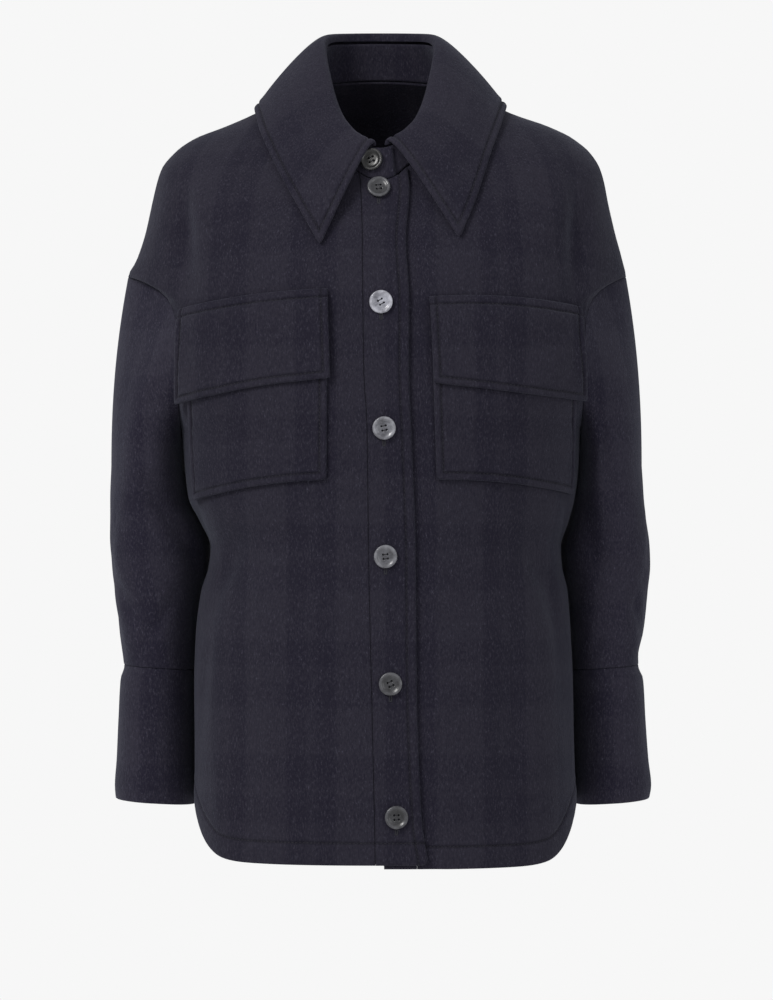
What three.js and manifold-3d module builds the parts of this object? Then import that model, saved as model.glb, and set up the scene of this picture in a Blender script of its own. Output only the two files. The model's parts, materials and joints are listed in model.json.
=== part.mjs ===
// Wool overshirt jacket as it is worn, open at neck, hem and cuffs, with nothing inside it.
// Millimetres, +Z up. The front faces -Y and +X is the wearer's left. The origin is the middle
// of the neck base, at the height where the shoulders meet the neck.
import * as THREE from 'three';
import Module from 'manifold-3d';
import { mergeVertices } from 'three/addons/utils/BufferGeometryUtils.js';

const wasm = await Module();
wasm.setup();

// Cloth
const wool = 2.5;              // one layer of the brushed wool, walls of body and sleeves
const bandWool = 3.4;          // front band: two layers pressed together
const cuffWool = 3.1;          // cuff: two layers
const seamGap = 0.3;           // air left between two pieces at a seam
const layGap = 1.3;            // air left between a piece and the panel that it lies on

// Body
const neckLevel = -72;         // neckline at the centre front
const shoulderEndLevel = -240; // row whose ends are the tips of the shoulder seams
const armpitLevel = -312;      // row whose ends are the armpits
const hemLevel = -688;         // hem at the centre front
const leftHemDrop = 3.5;       // the left front hangs this much below the right one
const armholeTop = -154;
const armholeBottom = -296;
const armholeFront = 84;       // reach of the armhole to the front and to the back
const armholeBack = 74;
const armholeTurn = 9;         // how soon the armhole seam turns from the shoulder into the fold
const shoulderTip = { right: 234, left: 228.5 };
const armpit = { right: 184, left: 186 };

// Buttons
const buttonRadius = 10.5;
const buttonThickness = 3.3;
const buttonDish = 1.4;
const buttonHoleRadius = 0.95;
const buttonHoleSpread = 1.95; // from the button's middle to a hole, along and across

// Reads a table with named columns. Values between two rows follow a smooth curve that never
// swings past them (a cubic with limited slopes).
function table(columns, rows) {
  const names = columns.split(' ');
  const sorted = [...rows].sort((a, b) => a[0] - b[0]);
  const at = sorted.map((row) => row[0]);
  const curves = {};
  names.forEach((name, c) => {
    const y = sorted.map((row) => row[c]);
    const slope = y.slice(1).map((v, i) => (v - y[i]) / (at[i + 1] - at[i]));
    const tangent = y.map((v, i) => {
      if (i === 0) return slope[0];
      if (i === y.length - 1) return slope[i - 1];
      if (slope[i - 1] * slope[i] <= 0) return 0;
      return (2 * slope[i - 1] * slope[i]) / (slope[i - 1] + slope[i]);
    });
    curves[name] = (x) => {
      if (x <= at[0]) return y[0];
      if (x >= at[at.length - 1]) return y[y.length - 1];
      let i = 0;
      while (x > at[i + 1]) i += 1;
      const h = at[i + 1] - at[i];
      const t = (x - at[i]) / h;
      const rise = t * t * (3 - 2 * t);
      return y[i] * (1 - rise) + y[i + 1] * rise
        + h * (t * (1 - t) * (1 - t) * tangent[i] - t * t * (1 - t) * tangent[i + 1]);
    };
  });
  return curves;
}

const mix = (a, b, t) => a + (b - a) * t;
const ramp = (from, to, x) => THREE.MathUtils.smoothstep((x - from) / (to - from), 0, 1);
const radians = THREE.MathUtils.degToRad;

// Rings of the body. A ring is named by its height at the centre front. side and back are its
// heights at the side and at the centre back, right and left the half widths of the trunk, arm
// how far the shoulder reaches out past that, depthFront and depthBack the reach from the
// middle, square the superellipse power and rise how late the ring climbs.
const rings = table('level side back right left armRight armLeft depthFront depthBack square rise', [
  [-72, 26, 34, 67, 67, 0, 0, 109, 62, 2.05, 2],
  [-94, -2, 12, 116, 122, 0, 0, 119, 86, 2.1, 2],
  [-112, -14, -8, 143, 156, 0, 0, 128.5, 101, 2.15, 2],
  [-130, -26, -30, 173, 180, 0, 0, 136.5, 111, 2.2, 2],
  [-147, -38, -54, 189, 192, 1, 2.5, 142, 119, 2.2, 2],
  [-165, -54, -82, 199, 199.6, 4, 5, 146, 126, 2.25, 2],
  [-186, -78, -114, 203, 204, 7, 6.5, 149, 131, 2.25, 2.1],
  [-208, -110, -146, 205, 205.5, 12, 12, 151, 134, 2.3, 2.2],
  [-228, -138, -174, 205.5, 206, 20.5, 19, 152.5, 135, 2.3, 2.2],
  [-240, -154, -190, 205.5, 206, 28.5, 22.5, 153, 135, 2.3, 2.2],
  [-260, -179, -224, 205, 205.8, 0, 0, 153, 134.5, 2.3, 2.2],
  [-312, -296, -300, 184, 186, 0, 0, 152, 128, 2.35, 2.2],
  [-334, -328, -330, 181.5, 184.5, 0, 0, 151.5, 125, 2.35, 2.1],
  [-358, -358, -358, 178, 181, 0, 0, 150, 122, 2.35, 2],
  [-381, -381, -381, 167, 175, 0, 0, 149, 120, 2.35, 2],
  [-404, -404, -404, 157.5, 168, 0, 0, 148, 119, 2.35, 2],
  [-422, -422, -422, 159, 169, 0, 0, 148, 119.5, 2.35, 2],
  [-445, -445, -445, 166, 174, 0, 0, 149, 121, 2.35, 2],
  [-485, -485, -484, 171, 177, 0, 0, 150, 124, 2.4, 2],
  [-530, -527, -529, 172.5, 179, 0, 0, 152, 127, 2.4, 3],
  [-600, -585, -599, 172, 180, 0, 0, 154, 130, 2.45, 7],
  [-688, -640, -686, 172, 182, 0, 0, 156, 133, 2.5, 12],
]);
const armStart = radians(55);  // angle from which the shoulder swells past the trunk
const armRowsEnd = -260;       // below this row the armhole lies on the trunk itself

// Lines down the front, as x at a height: the seam that joins the band to the right front, the
// middle of the buttons and the free edge of the band.
const frontLines = table('z seam button edge', [
  [-53.2, -20, -6.4, 20.9],
  [-66, -19, -2, 23.5],
  [-84, -17, -0.8, 27],
  [-127, -15.5, 0.4, 23.5],
  [-184, -15, 1.1, 26.5],
  [-245, -14.1, 2.5, 26.3],
  [-297, -11.2, 3.8, 28.2],
  [-412, -9.8, 5.1, 32.3],
  [-526, -7.3, 9.6, 33.1],
  [-645, -4.6, 14.9, 37.5],
  [-690, -3.8, 17, 44],
]);

// Soft folds of the body: the middle of each as angle from the centre front (positive on the
// wearer's left) and height, its half width and half length along the cloth, its lean in mm
// sideways for each mm down, and its depth (negative is a ridge).
const bodyFolds = [
  { angle: -60, z: -118, width: 15, length: 46, lean: 0.22, depth: 8 },
  { angle: 61, z: -116, width: 15, length: 48, lean: -0.22, depth: 8 },
  { angle: -122, z: -140, width: 17, length: 70, lean: -0.2, depth: 8 },
  { angle: 121, z: -140, width: 17, length: 66, lean: 0.2, depth: 7.5 },
  { angle: -60, z: -432, width: 22, length: 48, lean: -0.6, depth: 4 },
  { angle: 59, z: -436, width: 22, length: 52, lean: 0.5, depth: 4.5 },
  { angle: -40, z: -590, width: 24, length: 110, lean: 0.12, depth: 3.5 },
  { angle: 38, z: -575, width: 24, length: 120, lean: -0.1, depth: 3.5 },
  { angle: -150, z: -470, width: 26, length: 150, lean: -0.12, depth: 5 },
  { angle: 146, z: -450, width: 26, length: 170, lean: 0.1, depth: 5.5 },
  { angle: 178, z: -560, width: 30, length: 130, lean: 0.04, depth: -4 },
];

const seamFade = 0.14;         // folds flatten out over this angle, in radians, beside a seam
const bodyDegree = 2.7;        // cloth to a degree round the trunk
const sleeveDegree = 0.95;     // cloth to a degree round a sleeve

// A soft trough across the cloth: a bell curve across, and another along its length.
function foldDepth(folds, angle, z, mmPerDegree) {
  let depth = 0;
  for (const fold of folds) {
    const down = fold.z - z;
    let turn = angle - fold.angle;
    if (turn > 180) turn -= 360;
    if (turn < -180) turn += 360;
    const across = turn * mmPerDegree - fold.lean * down;
    const reach = (across / fold.width) ** 2 + (down / fold.length) ** 2;
    depth += fold.depth * Math.exp(-reach);
  }
  return depth;
}

// Armhole seam, a closed loop. turn is 0 at the shoulder tip, 90 degrees at the front, 180 at
// the armpit and 270 at the back. The seam leaves the tip outwards and sinks into the fold.
function armhole(side, turn) {
  const key = side < 0 ? 'right' : 'left';
  const near = ((1 + Math.cos(turn)) / 2) ** armholeTurn;
  const reach = Math.sin(turn) > 0 ? armholeFront : armholeBack;
  return new THREE.Vector3(
    side * mix(armpit[key], shoulderTip[key], near),
    -reach * Math.sin(turn),
    mix(armholeBottom, armholeTop, (1 + Math.cos(turn)) / 2),
  );
}

// A ring of the body with its end on the shoulder seam, on the armhole or on the side seam.
const armShare = (angle) => ramp(armStart, Math.PI / 2, angle);
function ringAt(level, side, isFront) {
  const square = rings.square(level);
  const depth = isFront ? rings.depthFront(level) : rings.depthBack(level);
  const key = side < 0 ? 'Right' : 'Left';
  let half = rings[key.toLowerCase()](level);
  const edge = new THREE.Vector3(side * (half + rings[`arm${key}`](level)), 0, rings.side(level));
  if (level < shoulderEndLevel && level > armpitLevel) {
    const turn = (Math.PI * (level - shoulderEndLevel)) / (armpitLevel - shoulderEndLevel);
    edge.copy(armhole(side, isFront ? turn : 2 * Math.PI - turn));
  }
  const reach = Math.max(Math.abs(edge.y), seamGap / 2) / depth;
  const edgeAngle = Math.acos(reach ** (square / 2));
  const edgeSine = Math.sin(edgeAngle) ** (2 / square);
  let arm = 0;
  if (level > armRowsEnd) arm = (Math.abs(edge.x) - half * edgeSine) / armShare(edgeAngle);
  else half = Math.abs(edge.x) / edgeSine;
  const middle = isFront ? level : rings.back(level);
  return { square, depth, half, arm, middle, edgeZ: edge.z, edgeAngle, rise: rings.rise(level) };
}

// The outer face of the body: a superellipse ring, climbing from its middle to its end, and
// pushed in along the folds. angle is 0 at the centre front and positive on the wearer's left.
function bodyPoint(angle, level) {
  const side = angle < 0 ? -1 : 1;
  const isFront = Math.abs(angle) <= Math.PI / 2;
  const ring = ringAt(level, side, isFront);
  const sine = Math.abs(Math.sin(angle));
  const cosine = Math.abs(Math.cos(angle));
  const fromMiddle = Math.asin(Math.min(1, sine));
  const x = side * (ring.half * sine ** (2 / ring.square) + ring.arm * armShare(fromMiddle));
  const y = (isFront ? -1 : 1) * ring.depth * cosine ** (2 / ring.square);
  const climb = Math.min(1, sine / Math.sin(ring.edgeAngle)) ** ring.rise;
  const z = mix(ring.middle, ring.edgeZ, climb);
  const inward = new THREE.Vector2(x / ring.half ** 2, y / ring.depth ** 2).normalize();
  const fade = level < shoulderEndLevel ? ramp(0, seamFade, ring.edgeAngle - fromMiddle) : 1;
  const fold = fade * foldDepth(bodyFolds, THREE.MathUtils.radToDeg(angle), z, bodyDegree);
  return new THREE.Vector3(x - inward.x * fold, y - inward.y * fold, z);
}

// Angle at which a ring passes a given x on the front.
function angleAtX(x, level) {
  const ring = ringAt(level, x < 0 ? -1 : 1, true);
  return Math.sign(x) * Math.asin(Math.min(1, Math.abs(x) / ring.half) ** (ring.square / 2));
}

// Outward normal of a face given as a function of two parameters.
function normalOf(point, u, v, step, out) {
  const alongU = point(u + step, v).sub(point(u - step, v));
  const alongV = point(u, v + step).sub(point(u, v - step));
  return alongU.cross(alongV).normalize().multiplyScalar(out);
}

const bodyNormal = (angle, level) => {
  const alongRing = bodyPoint(angle + 0.01, level).sub(bodyPoint(angle - 0.01, level));
  const upBody = bodyPoint(angle, level + 1).sub(bodyPoint(angle, level - 1));
  return alongRing.cross(upBody).normalize();
};

function onBody(angle, level, lift) {
  return bodyPoint(angle, level).addScaledVector(bodyNormal(angle, level), lift);
}

// Angle and level of the body's front at a given x and z, found along its slopes.
function frontAt(x, z) {
  let level = z;
  let angle = angleAtX(x, level);
  for (let i = 0; i < 14; i += 1) {
    const here = bodyPoint(angle, level);
    const dAngle = bodyPoint(angle + 1e-3, level).sub(here).multiplyScalar(1e3);
    const dLevel = bodyPoint(angle, level + 0.1).sub(here).multiplyScalar(10);
    const det = dAngle.x * dLevel.z - dLevel.x * dAngle.z;
    const missX = x - here.x;
    const missZ = z - here.z;
    angle += THREE.MathUtils.clamp((missX * dLevel.z - missZ * dLevel.x) / det, -0.3, 0.3);
    level += THREE.MathUtils.clamp((missZ * dAngle.x - missX * dAngle.z) / det, -30, 30);
    level = THREE.MathUtils.clamp(level, hemLevel - 10, neckLevel);
  }
  return [angle, level];
}

// Angle and level of the body's point nearest to a target, by ever shorter steps.
function nearestOnBody(target, angle, level) {
  let best = [angle, level];
  let least = bodyPoint(angle, level).distanceTo(target);
  for (let reach = 0.3; reach > 1e-4; reach *= 0.7) {
    for (const [a, b] of [[reach, 0], [-reach, 0], [0, reach * 100], [0, -reach * 100]]) {
      const tried = [best[0] + a, Math.min(neckLevel, best[1] + b)];
      const distance = bodyPoint(...tried).distanceTo(target);
      if (distance < least) {
        least = distance;
        best = tried;
      }
    }
  }
  return best;
}

// Turns vertices and triangles into a mesh, with its faces pointing out.
function solid(name, vertices, triangles, finish) {
  let volume = 0;
  const [a, b, c] = [new THREE.Vector3(), new THREE.Vector3(), new THREE.Vector3()];
  for (const [i, j, k] of triangles) {
    volume += a.copy(vertices[i]).dot(b.copy(vertices[j]).cross(c.copy(vertices[k])));
  }
  const places = vertices.flatMap((point) => point.toArray());
  const geometry = new THREE.BufferGeometry();
  geometry.setAttribute('position', new THREE.Float32BufferAttribute(places, 3));
  geometry.setIndex(triangles.flatMap(([i, j, k]) => (volume > 0 ? [i, j, k] : [i, k, j])));
  geometry.computeVertexNormals();
  const mesh = new THREE.Mesh(geometry, finish);
  mesh.name = name;
  return mesh;
}

// A wall of cloth on a grid. face(u, v) is its outer side, with u across and v down, and the
// inner side lies one thickness in along the normal, or where lining(u, v) puts it. A closed
// wall is a tube in u.
function wall(name, face, { across, down, thickness, finish, closed = false, out = 1, lining }) {
  const columns = closed ? across : across + 1;
  const vertices = [];
  const inner = [];
  const edge = 1e-4;
  for (let j = 0; j <= down; j += 1) {
    for (let i = 0; i < columns; i += 1) {
      const u = i / across;
      const v = j / down;
      const uIn = closed ? u : THREE.MathUtils.clamp(u, edge, 1 - edge);
      const vIn = THREE.MathUtils.clamp(v, edge, 1 - edge);
      const outside = face(u, v);
      vertices.push(outside);
      inner.push(lining ? lining(u, v)
        : outside.clone().addScaledVector(normalOf(face, uIn, vIn, edge, out), -thickness));
    }
  }
  const shift = vertices.length;
  vertices.push(...inner);
  const at = (i, j) => j * columns + (closed ? i % columns : i);
  const triangles = [];
  const quad = (a, b, c, d) => triangles.push([a, b, c], [a, c, d]);
  for (let j = 0; j < down; j += 1) {
    for (let i = 0; i < across; i += 1) {
      const [a, b, c, d] = [at(i, j), at(i + 1, j), at(i + 1, j + 1), at(i, j + 1)];
      quad(a, b, c, d);
      quad(a + shift, d + shift, c + shift, b + shift);
    }
  }
  for (let i = 0; i < across; i += 1) {
    quad(at(i, 0), at(i, 0) + shift, at(i + 1, 0) + shift, at(i + 1, 0));
    quad(at(i, down), at(i + 1, down), at(i + 1, down) + shift, at(i, down) + shift);
  }
  for (let j = 0; j < down && !closed; j += 1) {
    quad(at(0, j), at(0, j + 1), at(0, j + 1) + shift, at(0, j) + shift);
    quad(at(across, j), at(across, j) + shift, at(across, j + 1) + shift, at(across, j + 1));
  }
  return solid(name, vertices, triangles, finish);
}

const cloth = (color) => new THREE.MeshStandardMaterial({ color, roughness: 0.95, metalness: 0 });
const bodyWool = cloth(0x2b2a33);
const collarWool = cloth(0x2e2d36);
const sleeveWool = cloth(0x313039);
const horn = new THREE.MeshStandardMaterial({ color: 0x3b3a40, roughness: 0.35, metalness: 0 });

const jacket = new THREE.Group();

// Rows of the fronts and the back, from the neckline to the hem. Both ends of a row lie on the
// shoulder seam, then on the armhole, then on the side seam.
const shoulderRows = 8;
const armholeRows = 10;
const sideRows = 12;
const panelRows = shoulderRows + armholeRows + sideRows;
function levelAt(v) {
  const row = v * panelRows;
  if (row <= shoulderRows) return mix(neckLevel, shoulderEndLevel, (row / shoulderRows) ** 0.9);
  if (row <= shoulderRows + armholeRows) {
    return mix(shoulderEndLevel, armpitLevel, (row - shoulderRows) / armholeRows);
  }
  return mix(armpitLevel, hemLevel, ((row - shoulderRows - armholeRows) / sideRows) ** 1.1);
}

// Depth to which the left front sinks so that the band can lie over it.
const bandLift = 1;
const underBand = bandLift - bandWool - 1;
const buttonSide = 17;         // from the buttons to the seam of the left band
const underReach = 13;         // and from them to its hidden free edge
const besideEdge = 2.5;        // the left front lies low up to here, past the edge of the band
const sinkWidth = 15;
const hemDrop = (v) => leftHemDrop * ramp(0.8, 1, v);
const frontColumns = 12;

// u runs from the seam of the band to the side. On the left the first two columns are the strip
// under the edge of the band and the slope beside it.
function frontFace(side, startX) {
  return (u, v) => {
    const level = levelAt(v);
    const end = side * ringAt(level, side, true).edgeAngle;
    const column = u * frontColumns;
    if (side < 0) return bodyPoint(mix(angleAtX(startX(level), level), end, u), level);
    const low = frontLines.edge(level) + besideEdge;
    const slope = ramp(1, 2, column);
    const x = column < 1 ? mix(startX(level), low, column) : mix(low, low + sinkWidth, column - 1);
    const angle = column < 2 ? angleAtX(x, level)
      : mix(angleAtX(low + sinkWidth, level), end, (column - 2) / (frontColumns - 2));
    const point = onBody(angle, level, underBand * (1 - slope));
    point.z -= hemDrop(v) * (1 - ramp(0.6, 1, u));
    return point;
  };
}

const rightFront = frontFace(-1, (z) => frontLines.seam(z) - seamGap / 2);
const leftFront = frontFace(1, (z) => frontLines.button(z) + buttonSide);
jacket.add(wall('front_right', rightFront, {
  across: frontColumns, down: panelRows, thickness: wool, finish: bodyWool, out: 1,
}));
jacket.add(wall('front_left', leftFront, {
  across: frontColumns, down: panelRows, thickness: wool, finish: bodyWool, out: -1,
}));

// Back, one piece from side seam to side seam. u runs from the right seam to the left one.
jacket.add(wall('back', (u, v) => {
  const level = levelAt(v);
  const fromMiddle = 2 * u - 1;
  const side = fromMiddle < 0 ? -1 : 1;
  const turn = Math.abs(fromMiddle) * ringAt(level, side, false).edgeAngle;
  return bodyPoint(side * (Math.PI - turn), level);
}, { across: 18, down: panelRows, thickness: wool, finish: bodyWool, out: 1 }));

// Front bands. The right one lies over the left, and its free edge shows.
const frontBand = (name, from, to, lift, drop, thickness) => {
  jacket.add(wall(name, (u, v) => {
    const level = levelAt(v);
    const point = onBody(angleAtX(mix(from(level), to(level), u), level), level, lift);
    point.z -= drop * hemDrop(v);
    return point;
  }, { across: 3, down: panelRows, thickness, finish: bodyWool, out: -1 }));
};
frontBand('band_right', (z) => frontLines.seam(z) + seamGap, frontLines.edge, bandLift, 0, bandWool);
const underStart = (z) => frontLines.button(z) - underReach;
const underEnd = (z) => frontLines.button(z) + buttonSide - seamGap;
frontBand('band_left', underStart, underEnd, underBand, 1, wool);

// Sleeve and cuff sections: how far the outer and the inner side lie from the middle of the
// body, the reach to the front and back, the place of the middle, and how far the front leans
// in towards the body.
const rightSleeve = table('z outer inner depth middle lean', [
  [-330, 251, 182.5, 72, 18, 2],
  [-361, 252.5, 177.4, 69, 24, -1],
  [-381, 252.3, 167, 67.5, 26, -3],
  [-404, 252, 158.4, 66, 28, -5],
  [-422, 251, 159.7, 64, 30, -5],
  [-445, 248.5, 165.8, 62, 31, -4],
  [-485, 243.5, 170.8, 58, 32, -3],
  [-512, 239.5, 171.6, 55, 33, -3],
  [-516, 239, 171.6, 55, 33, -3],
  [-528, 242.5, 171.7, 56, 34, -3],
  [-566, 244.6, 171.5, 55, 34, -3],
  [-603, 246.5, 171.6, 54, 34, -2],
  [-628, 248.4, 171.9, 53, 34, -1],
  [-640, 247.5, 171.8, 52, 34, -1],
]);
const leftSleeve = table('z outer inner depth middle lean', [
  [-330, 244.5, 185.2, 72, 18, 4],
  [-361, 247.3, 180.4, 69, 24, 1],
  [-381, 249.5, 175.3, 67.5, 26, -2],
  [-404, 251.5, 168.7, 66, 28, -4],
  [-422, 252, 169.4, 64, 30, -4],
  [-445, 250, 173.8, 62, 31, -3],
  [-485, 247, 177, 58, 32, -2],
  [-512, 241.5, 178.1, 55, 33, -2],
  [-516, 241.5, 178.1, 55, 33, -2],
  [-528, 246, 178.5, 56, 34, -2],
  [-566, 248.3, 179.3, 55, 34, -2],
  [-603, 251, 180.3, 54, 34, -2],
  [-628, 253.9, 181.5, 53, 34, -1],
  [-640, 252, 181.7, 52, 34, -1],
]);
const sleeveTop = -330;        // first section that is an even ring
const cuffSeam = -514;
const cuffEnd = -640;
const sleeveSquare = 2.25;
const innerDrop = 5;           // the inner side of seam and cuff lies this much lower
const cuffFade = 12;           // the sleeve's folds end over this height above the cuff

const sleeveFolds = {
  right: [
    { angle: 128, z: -395, width: 16, length: 42, lean: 0.5, depth: 5 },
    { angle: 60, z: -300, width: 20, length: 60, lean: -0.5, depth: 4 },
    { angle: 55, z: -455, width: 15, length: 34, lean: 0.9, depth: 4 },
    { angle: 250, z: -420, width: 22, length: 40, lean: -0.6, depth: 5 },
    { angle: 300, z: -340, width: 22, length: 60, lean: 0.4, depth: 4 },
  ],
  left: [
    { angle: 120, z: -390, width: 16, length: 44, lean: -0.4, depth: 4.5 },
    { angle: 62, z: -310, width: 20, length: 64, lean: 0.5, depth: 4 },
    { angle: 50, z: -462, width: 14, length: 36, lean: -0.8, depth: 4 },
    { angle: 244, z: -430, width: 22, length: 42, lean: 0.6, depth: 5 },
    { angle: 305, z: -330, width: 22, length: 64, lean: -0.4, depth: 4 },
  ],
};

// An even ring of the sleeve or cuff. turn runs as round the armhole.
function sleeveRing(side, turn, z) {
  const section = side < 0 ? rightSleeve : leftSleeve;
  const folds = side < 0 ? sleeveFolds.right : sleeveFolds.left;
  const outer = section.outer(z);
  const inner = section.inner(z);
  const degrees = THREE.MathUtils.euclideanModulo(THREE.MathUtils.radToDeg(turn), 360);
  const squeeze = foldDepth(folds, degrees, z, sleeveDegree) * ramp(cuffSeam, cuffSeam + cuffFade, z);
  const power = 2 / sleeveSquare;
  const cosine = Math.sign(Math.cos(turn)) * Math.abs(Math.cos(turn)) ** power;
  const sine = Math.sign(Math.sin(turn)) * Math.abs(Math.sin(turn)) ** power;
  const half = (outer - inner) / 2 - squeeze * Math.abs(Math.cos(turn));
  const depth = section.depth(z) - squeeze * Math.abs(Math.sin(turn));
  return new THREE.Vector3(
    side * ((outer + inner) / 2 + half * cosine - section.lean(z) * sine),
    section.middle(z) - depth * sine,
    z - innerDrop * ramp(sleeveTop, cuffSeam, z) * (1 - Math.cos(turn)) / 2,
  );
}

// The sleeve leaves the armhole seam, swings out to its first even ring and hangs down from it.
const capRows = 0.34;          // share of the rows that lie above the first even ring
const seamOut = 0.45;          // the sleeve starts this far outside the armhole seam
const seamDown = 0.35;         // and this far below it
const swing = 2.2;             // how soon the cloth swings out
function sleeveFace(side) {
  return (u, v) => {
    const turn = 2 * Math.PI * u;
    const below = (v - capRows) / (1 - capRows);
    if (v >= capRows) return sleeveRing(side, turn, mix(sleeveTop, cuffSeam, below));
    const t = v / capRows;
    const from = armhole(side, turn).add(new THREE.Vector3(side * seamOut, 0, -seamDown));
    const to = sleeveRing(side, turn, sleeveTop);
    const out = 1 - (1 - t) ** swing;
    return new THREE.Vector3(mix(from.x, to.x, out), mix(from.y, to.y, out), mix(from.z, to.z, t));
  };
}

const sides = [['right', -1], ['left', 1]];
for (const [name, side] of sides) {
  jacket.add(wall(`sleeve_${name}`, sleeveFace(side), {
    across: 2 * armholeRows, down: 16, thickness: wool, finish: sleeveWool, closed: true, out: side,
  }));
  jacket.add(wall(`cuff_${name}`, (u, v) => (
    sleeveRing(side, 2 * Math.PI * u, mix(cuffSeam - seamGap, cuffEnd, v))
  ), {
    across: 2 * armholeRows, down: 5, thickness: cuffWool, finish: sleeveWool, closed: true, out: side,
  }));
}

// Collar stand. It runs from the right end, over the left front, round the back to the left end
// underneath. Both its ends pass the centre front.
const foldHeights = table('y z', [
  [-103, -38], [-95, -28], [-80, -14], [-63, 5], [-38, 34], [0, 62], [30, 72], [61, 76],
]);
const foldHalf = 53;
const foldFront = 103;
const foldBack = 61;
const standBelowFold = 6.5;    // room for the roll between the stand's top and the fold
const frontBelowFold = 3.5;    // the same at the throat
const throat = 0.9;            // cosine of the turn at which the throat starts
const standClearance = 1.1;    // its foot stands this much above the neckline, on the slope
const standSlope = 0.7;        // share added to that towards the front
const standBulge = 1.5;
function foldLine(turn) {
  const y = -(Math.cos(turn) > 0 ? foldFront : foldBack) * Math.cos(turn);
  return new THREE.Vector3(foldHalf * Math.sin(turn), y, foldHeights.z(y));
}
const wrap = (turn) => THREE.MathUtils.euclideanModulo(turn + Math.PI, 2 * Math.PI) - Math.PI;
function standFace(turn, v, lift) {
  const foot = bodyPoint(wrap(turn), neckLevel);
  const top = foldLine(turn);
  top.z -= mix(standBelowFold, frontBelowFold, ramp(throat, 1, Math.cos(turn)));
  const outward = new THREE.Vector3(Math.sin(turn), -Math.cos(turn), 0);
  foot.addScaledVector(outward, lift);
  foot.z += standClearance * (1 + standSlope * ramp(-0.2, 1, Math.cos(turn)));
  top.addScaledVector(outward, lift);
  return foot.lerp(top, v).addScaledVector(outward, standBulge * Math.sin(Math.PI * v));
}
const standStart = radians(12);
const standEnd = radians(-371);
const standLift = (turn) => bandLift * ramp(radians(-30), radians(0), turn)
  + underBand * ramp(radians(-325), radians(-345), turn);
jacket.add(wall('collar_stand', (u, v) => {
  const turn = mix(standStart, standEnd, u);
  return standFace(turn, v, standLift(turn));
}, { across: 40, down: 2, thickness: wool, finish: collarWool, out: -1 }));

// Collar. Its path rises from the top of the stand, rolls over the fold and falls to the outer
// edge, which rests on fronts, shoulders and back. A row gives the place along the fold, in
// degrees from the centre front, the point over which the edge lies, and how far the roll
// rises and reaches out as it leaves the stand.
const collarEdge = table('along fold x y z rise reach', [
  [0, -3.5, -53.7, -138, -133, 18, 11],
  [0.1, -22, -76, -120, -93, 22, 4],
  [0.18, -42, -97, -95, -52, 26, 1],
  [0.25, -66, -112, -52, -17, 26, 1],
  [0.31, -88, -114, -12, -4, 26, 1],
  [0.38, -116, -101, 32, 4, 26, 1],
  [0.44, -145, -67, 66, 12, 26, 1],
  [0.5, -180, 0, 84, 17, 26, 1],
  [0.56, -215, 67, 66, 12, 26, 1],
  [0.62, -244, 101, 32, 4, 26, 1],
  [0.69, -272, 114.5, -8, -3, 26, 1],
  [0.75, -294, 112, -48, -15, 26, 1],
  [0.82, -318, 101, -93, -45, 26, 1],
  [0.9, -338, 88, -119, -86, 25, 1],
  [1, -355, 72, -138, -125, 22, 3],
]);
const collarWall = 2.8;
const collarLay = collarWall + 1.6; // its outer side, above what it rests on
const leafBulge = 9;
const foldGap = 2.3;           // between the top of the stand and the collar, along the stand
const foldInset = 0.1;         // the collar's inner side starts this far out of the stand's
function collarFace(u, v) {
  const turn = radians(collarEdge.fold(u));
  const outward = new THREE.Vector3(Math.sin(turn), -Math.cos(turn), 0);
  const [foot, top] = [standFace(turn, 0, standLift(turn)), standFace(turn, 1, standLift(turn))];
  const start = top.clone().addScaledVector(outward, foldInset - wool);
  start.addScaledVector(top.sub(foot).normalize(), foldGap);
  const target = new THREE.Vector3(collarEdge.x(u), collarEdge.y(u), collarEdge.z(u));
  const guess = Math.atan2(target.x, -target.y);
  const [angle, level] = nearestOnBody(target, guess, Math.min(neckLevel, target.z));
  const end = onBody(angle, level, collarLay);
  const up = start.clone().addScaledVector(outward, collarEdge.reach(u));
  up.z += collarEdge.rise(u);
  const over = start.clone().lerp(end, 0.5).addScaledVector(outward, leafBulge);
  over.z += leafBulge;
  const curve = new THREE.CubicBezierCurve3(start, up, over, end);
  return curve.getPoint(v);
}
jacket.add(wall('collar', collarFace, {
  across: 38, down: 9, thickness: collarWall, finish: collarWool, out: 1,
}));

// Breast pockets and flaps, laid on the fronts. Corners are x and z as seen from the front,
// and sag is how far the middle of an edge hangs below the straight line.
const laidOn = {
  pocket_right: {
    topInner: [-46.5, -197], topOuter: [-176, -212],
    bottomInner: [-47.3, -343], bottomOuter: [-167.8, -361],
    sagTop: -2, sagBottom: -4, lift: wool + layGap, topLift: 0, across: 12, down: 6,
  },
  pocket_left: {
    topInner: [46, -203], topOuter: [178, -210],
    bottomInner: [50.5, -343], bottomOuter: [174, -355.5],
    sagTop: -2, sagBottom: -4, lift: wool + layGap, topLift: 0, across: 12, down: 6,
  },
  flap_right: {
    topInner: [-46.4, -171.7], topOuter: [-181, -187],
    bottomInner: [-43.7, -252], bottomOuter: [-181.5, -272],
    sagTop: -3, sagBottom: -2, lift: 2 * (wool + layGap), topLift: wool + layGap, across: 13, down: 5,
  },
  flap_left: {
    topInner: [44, -178.8], topOuter: [181, -185],
    bottomInner: [48, -256.3], bottomOuter: [183, -269],
    sagTop: -4, sagBottom: 1, lift: 2 * (wool + layGap), topLift: wool + layGap, across: 13, down: 5,
  },
};
const sideTurn = radians(75);  // columns lie closer towards the side, where the front turns away
const flapTurn = 0.2;          // share of a flap's height in which it climbs onto the pocket
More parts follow.
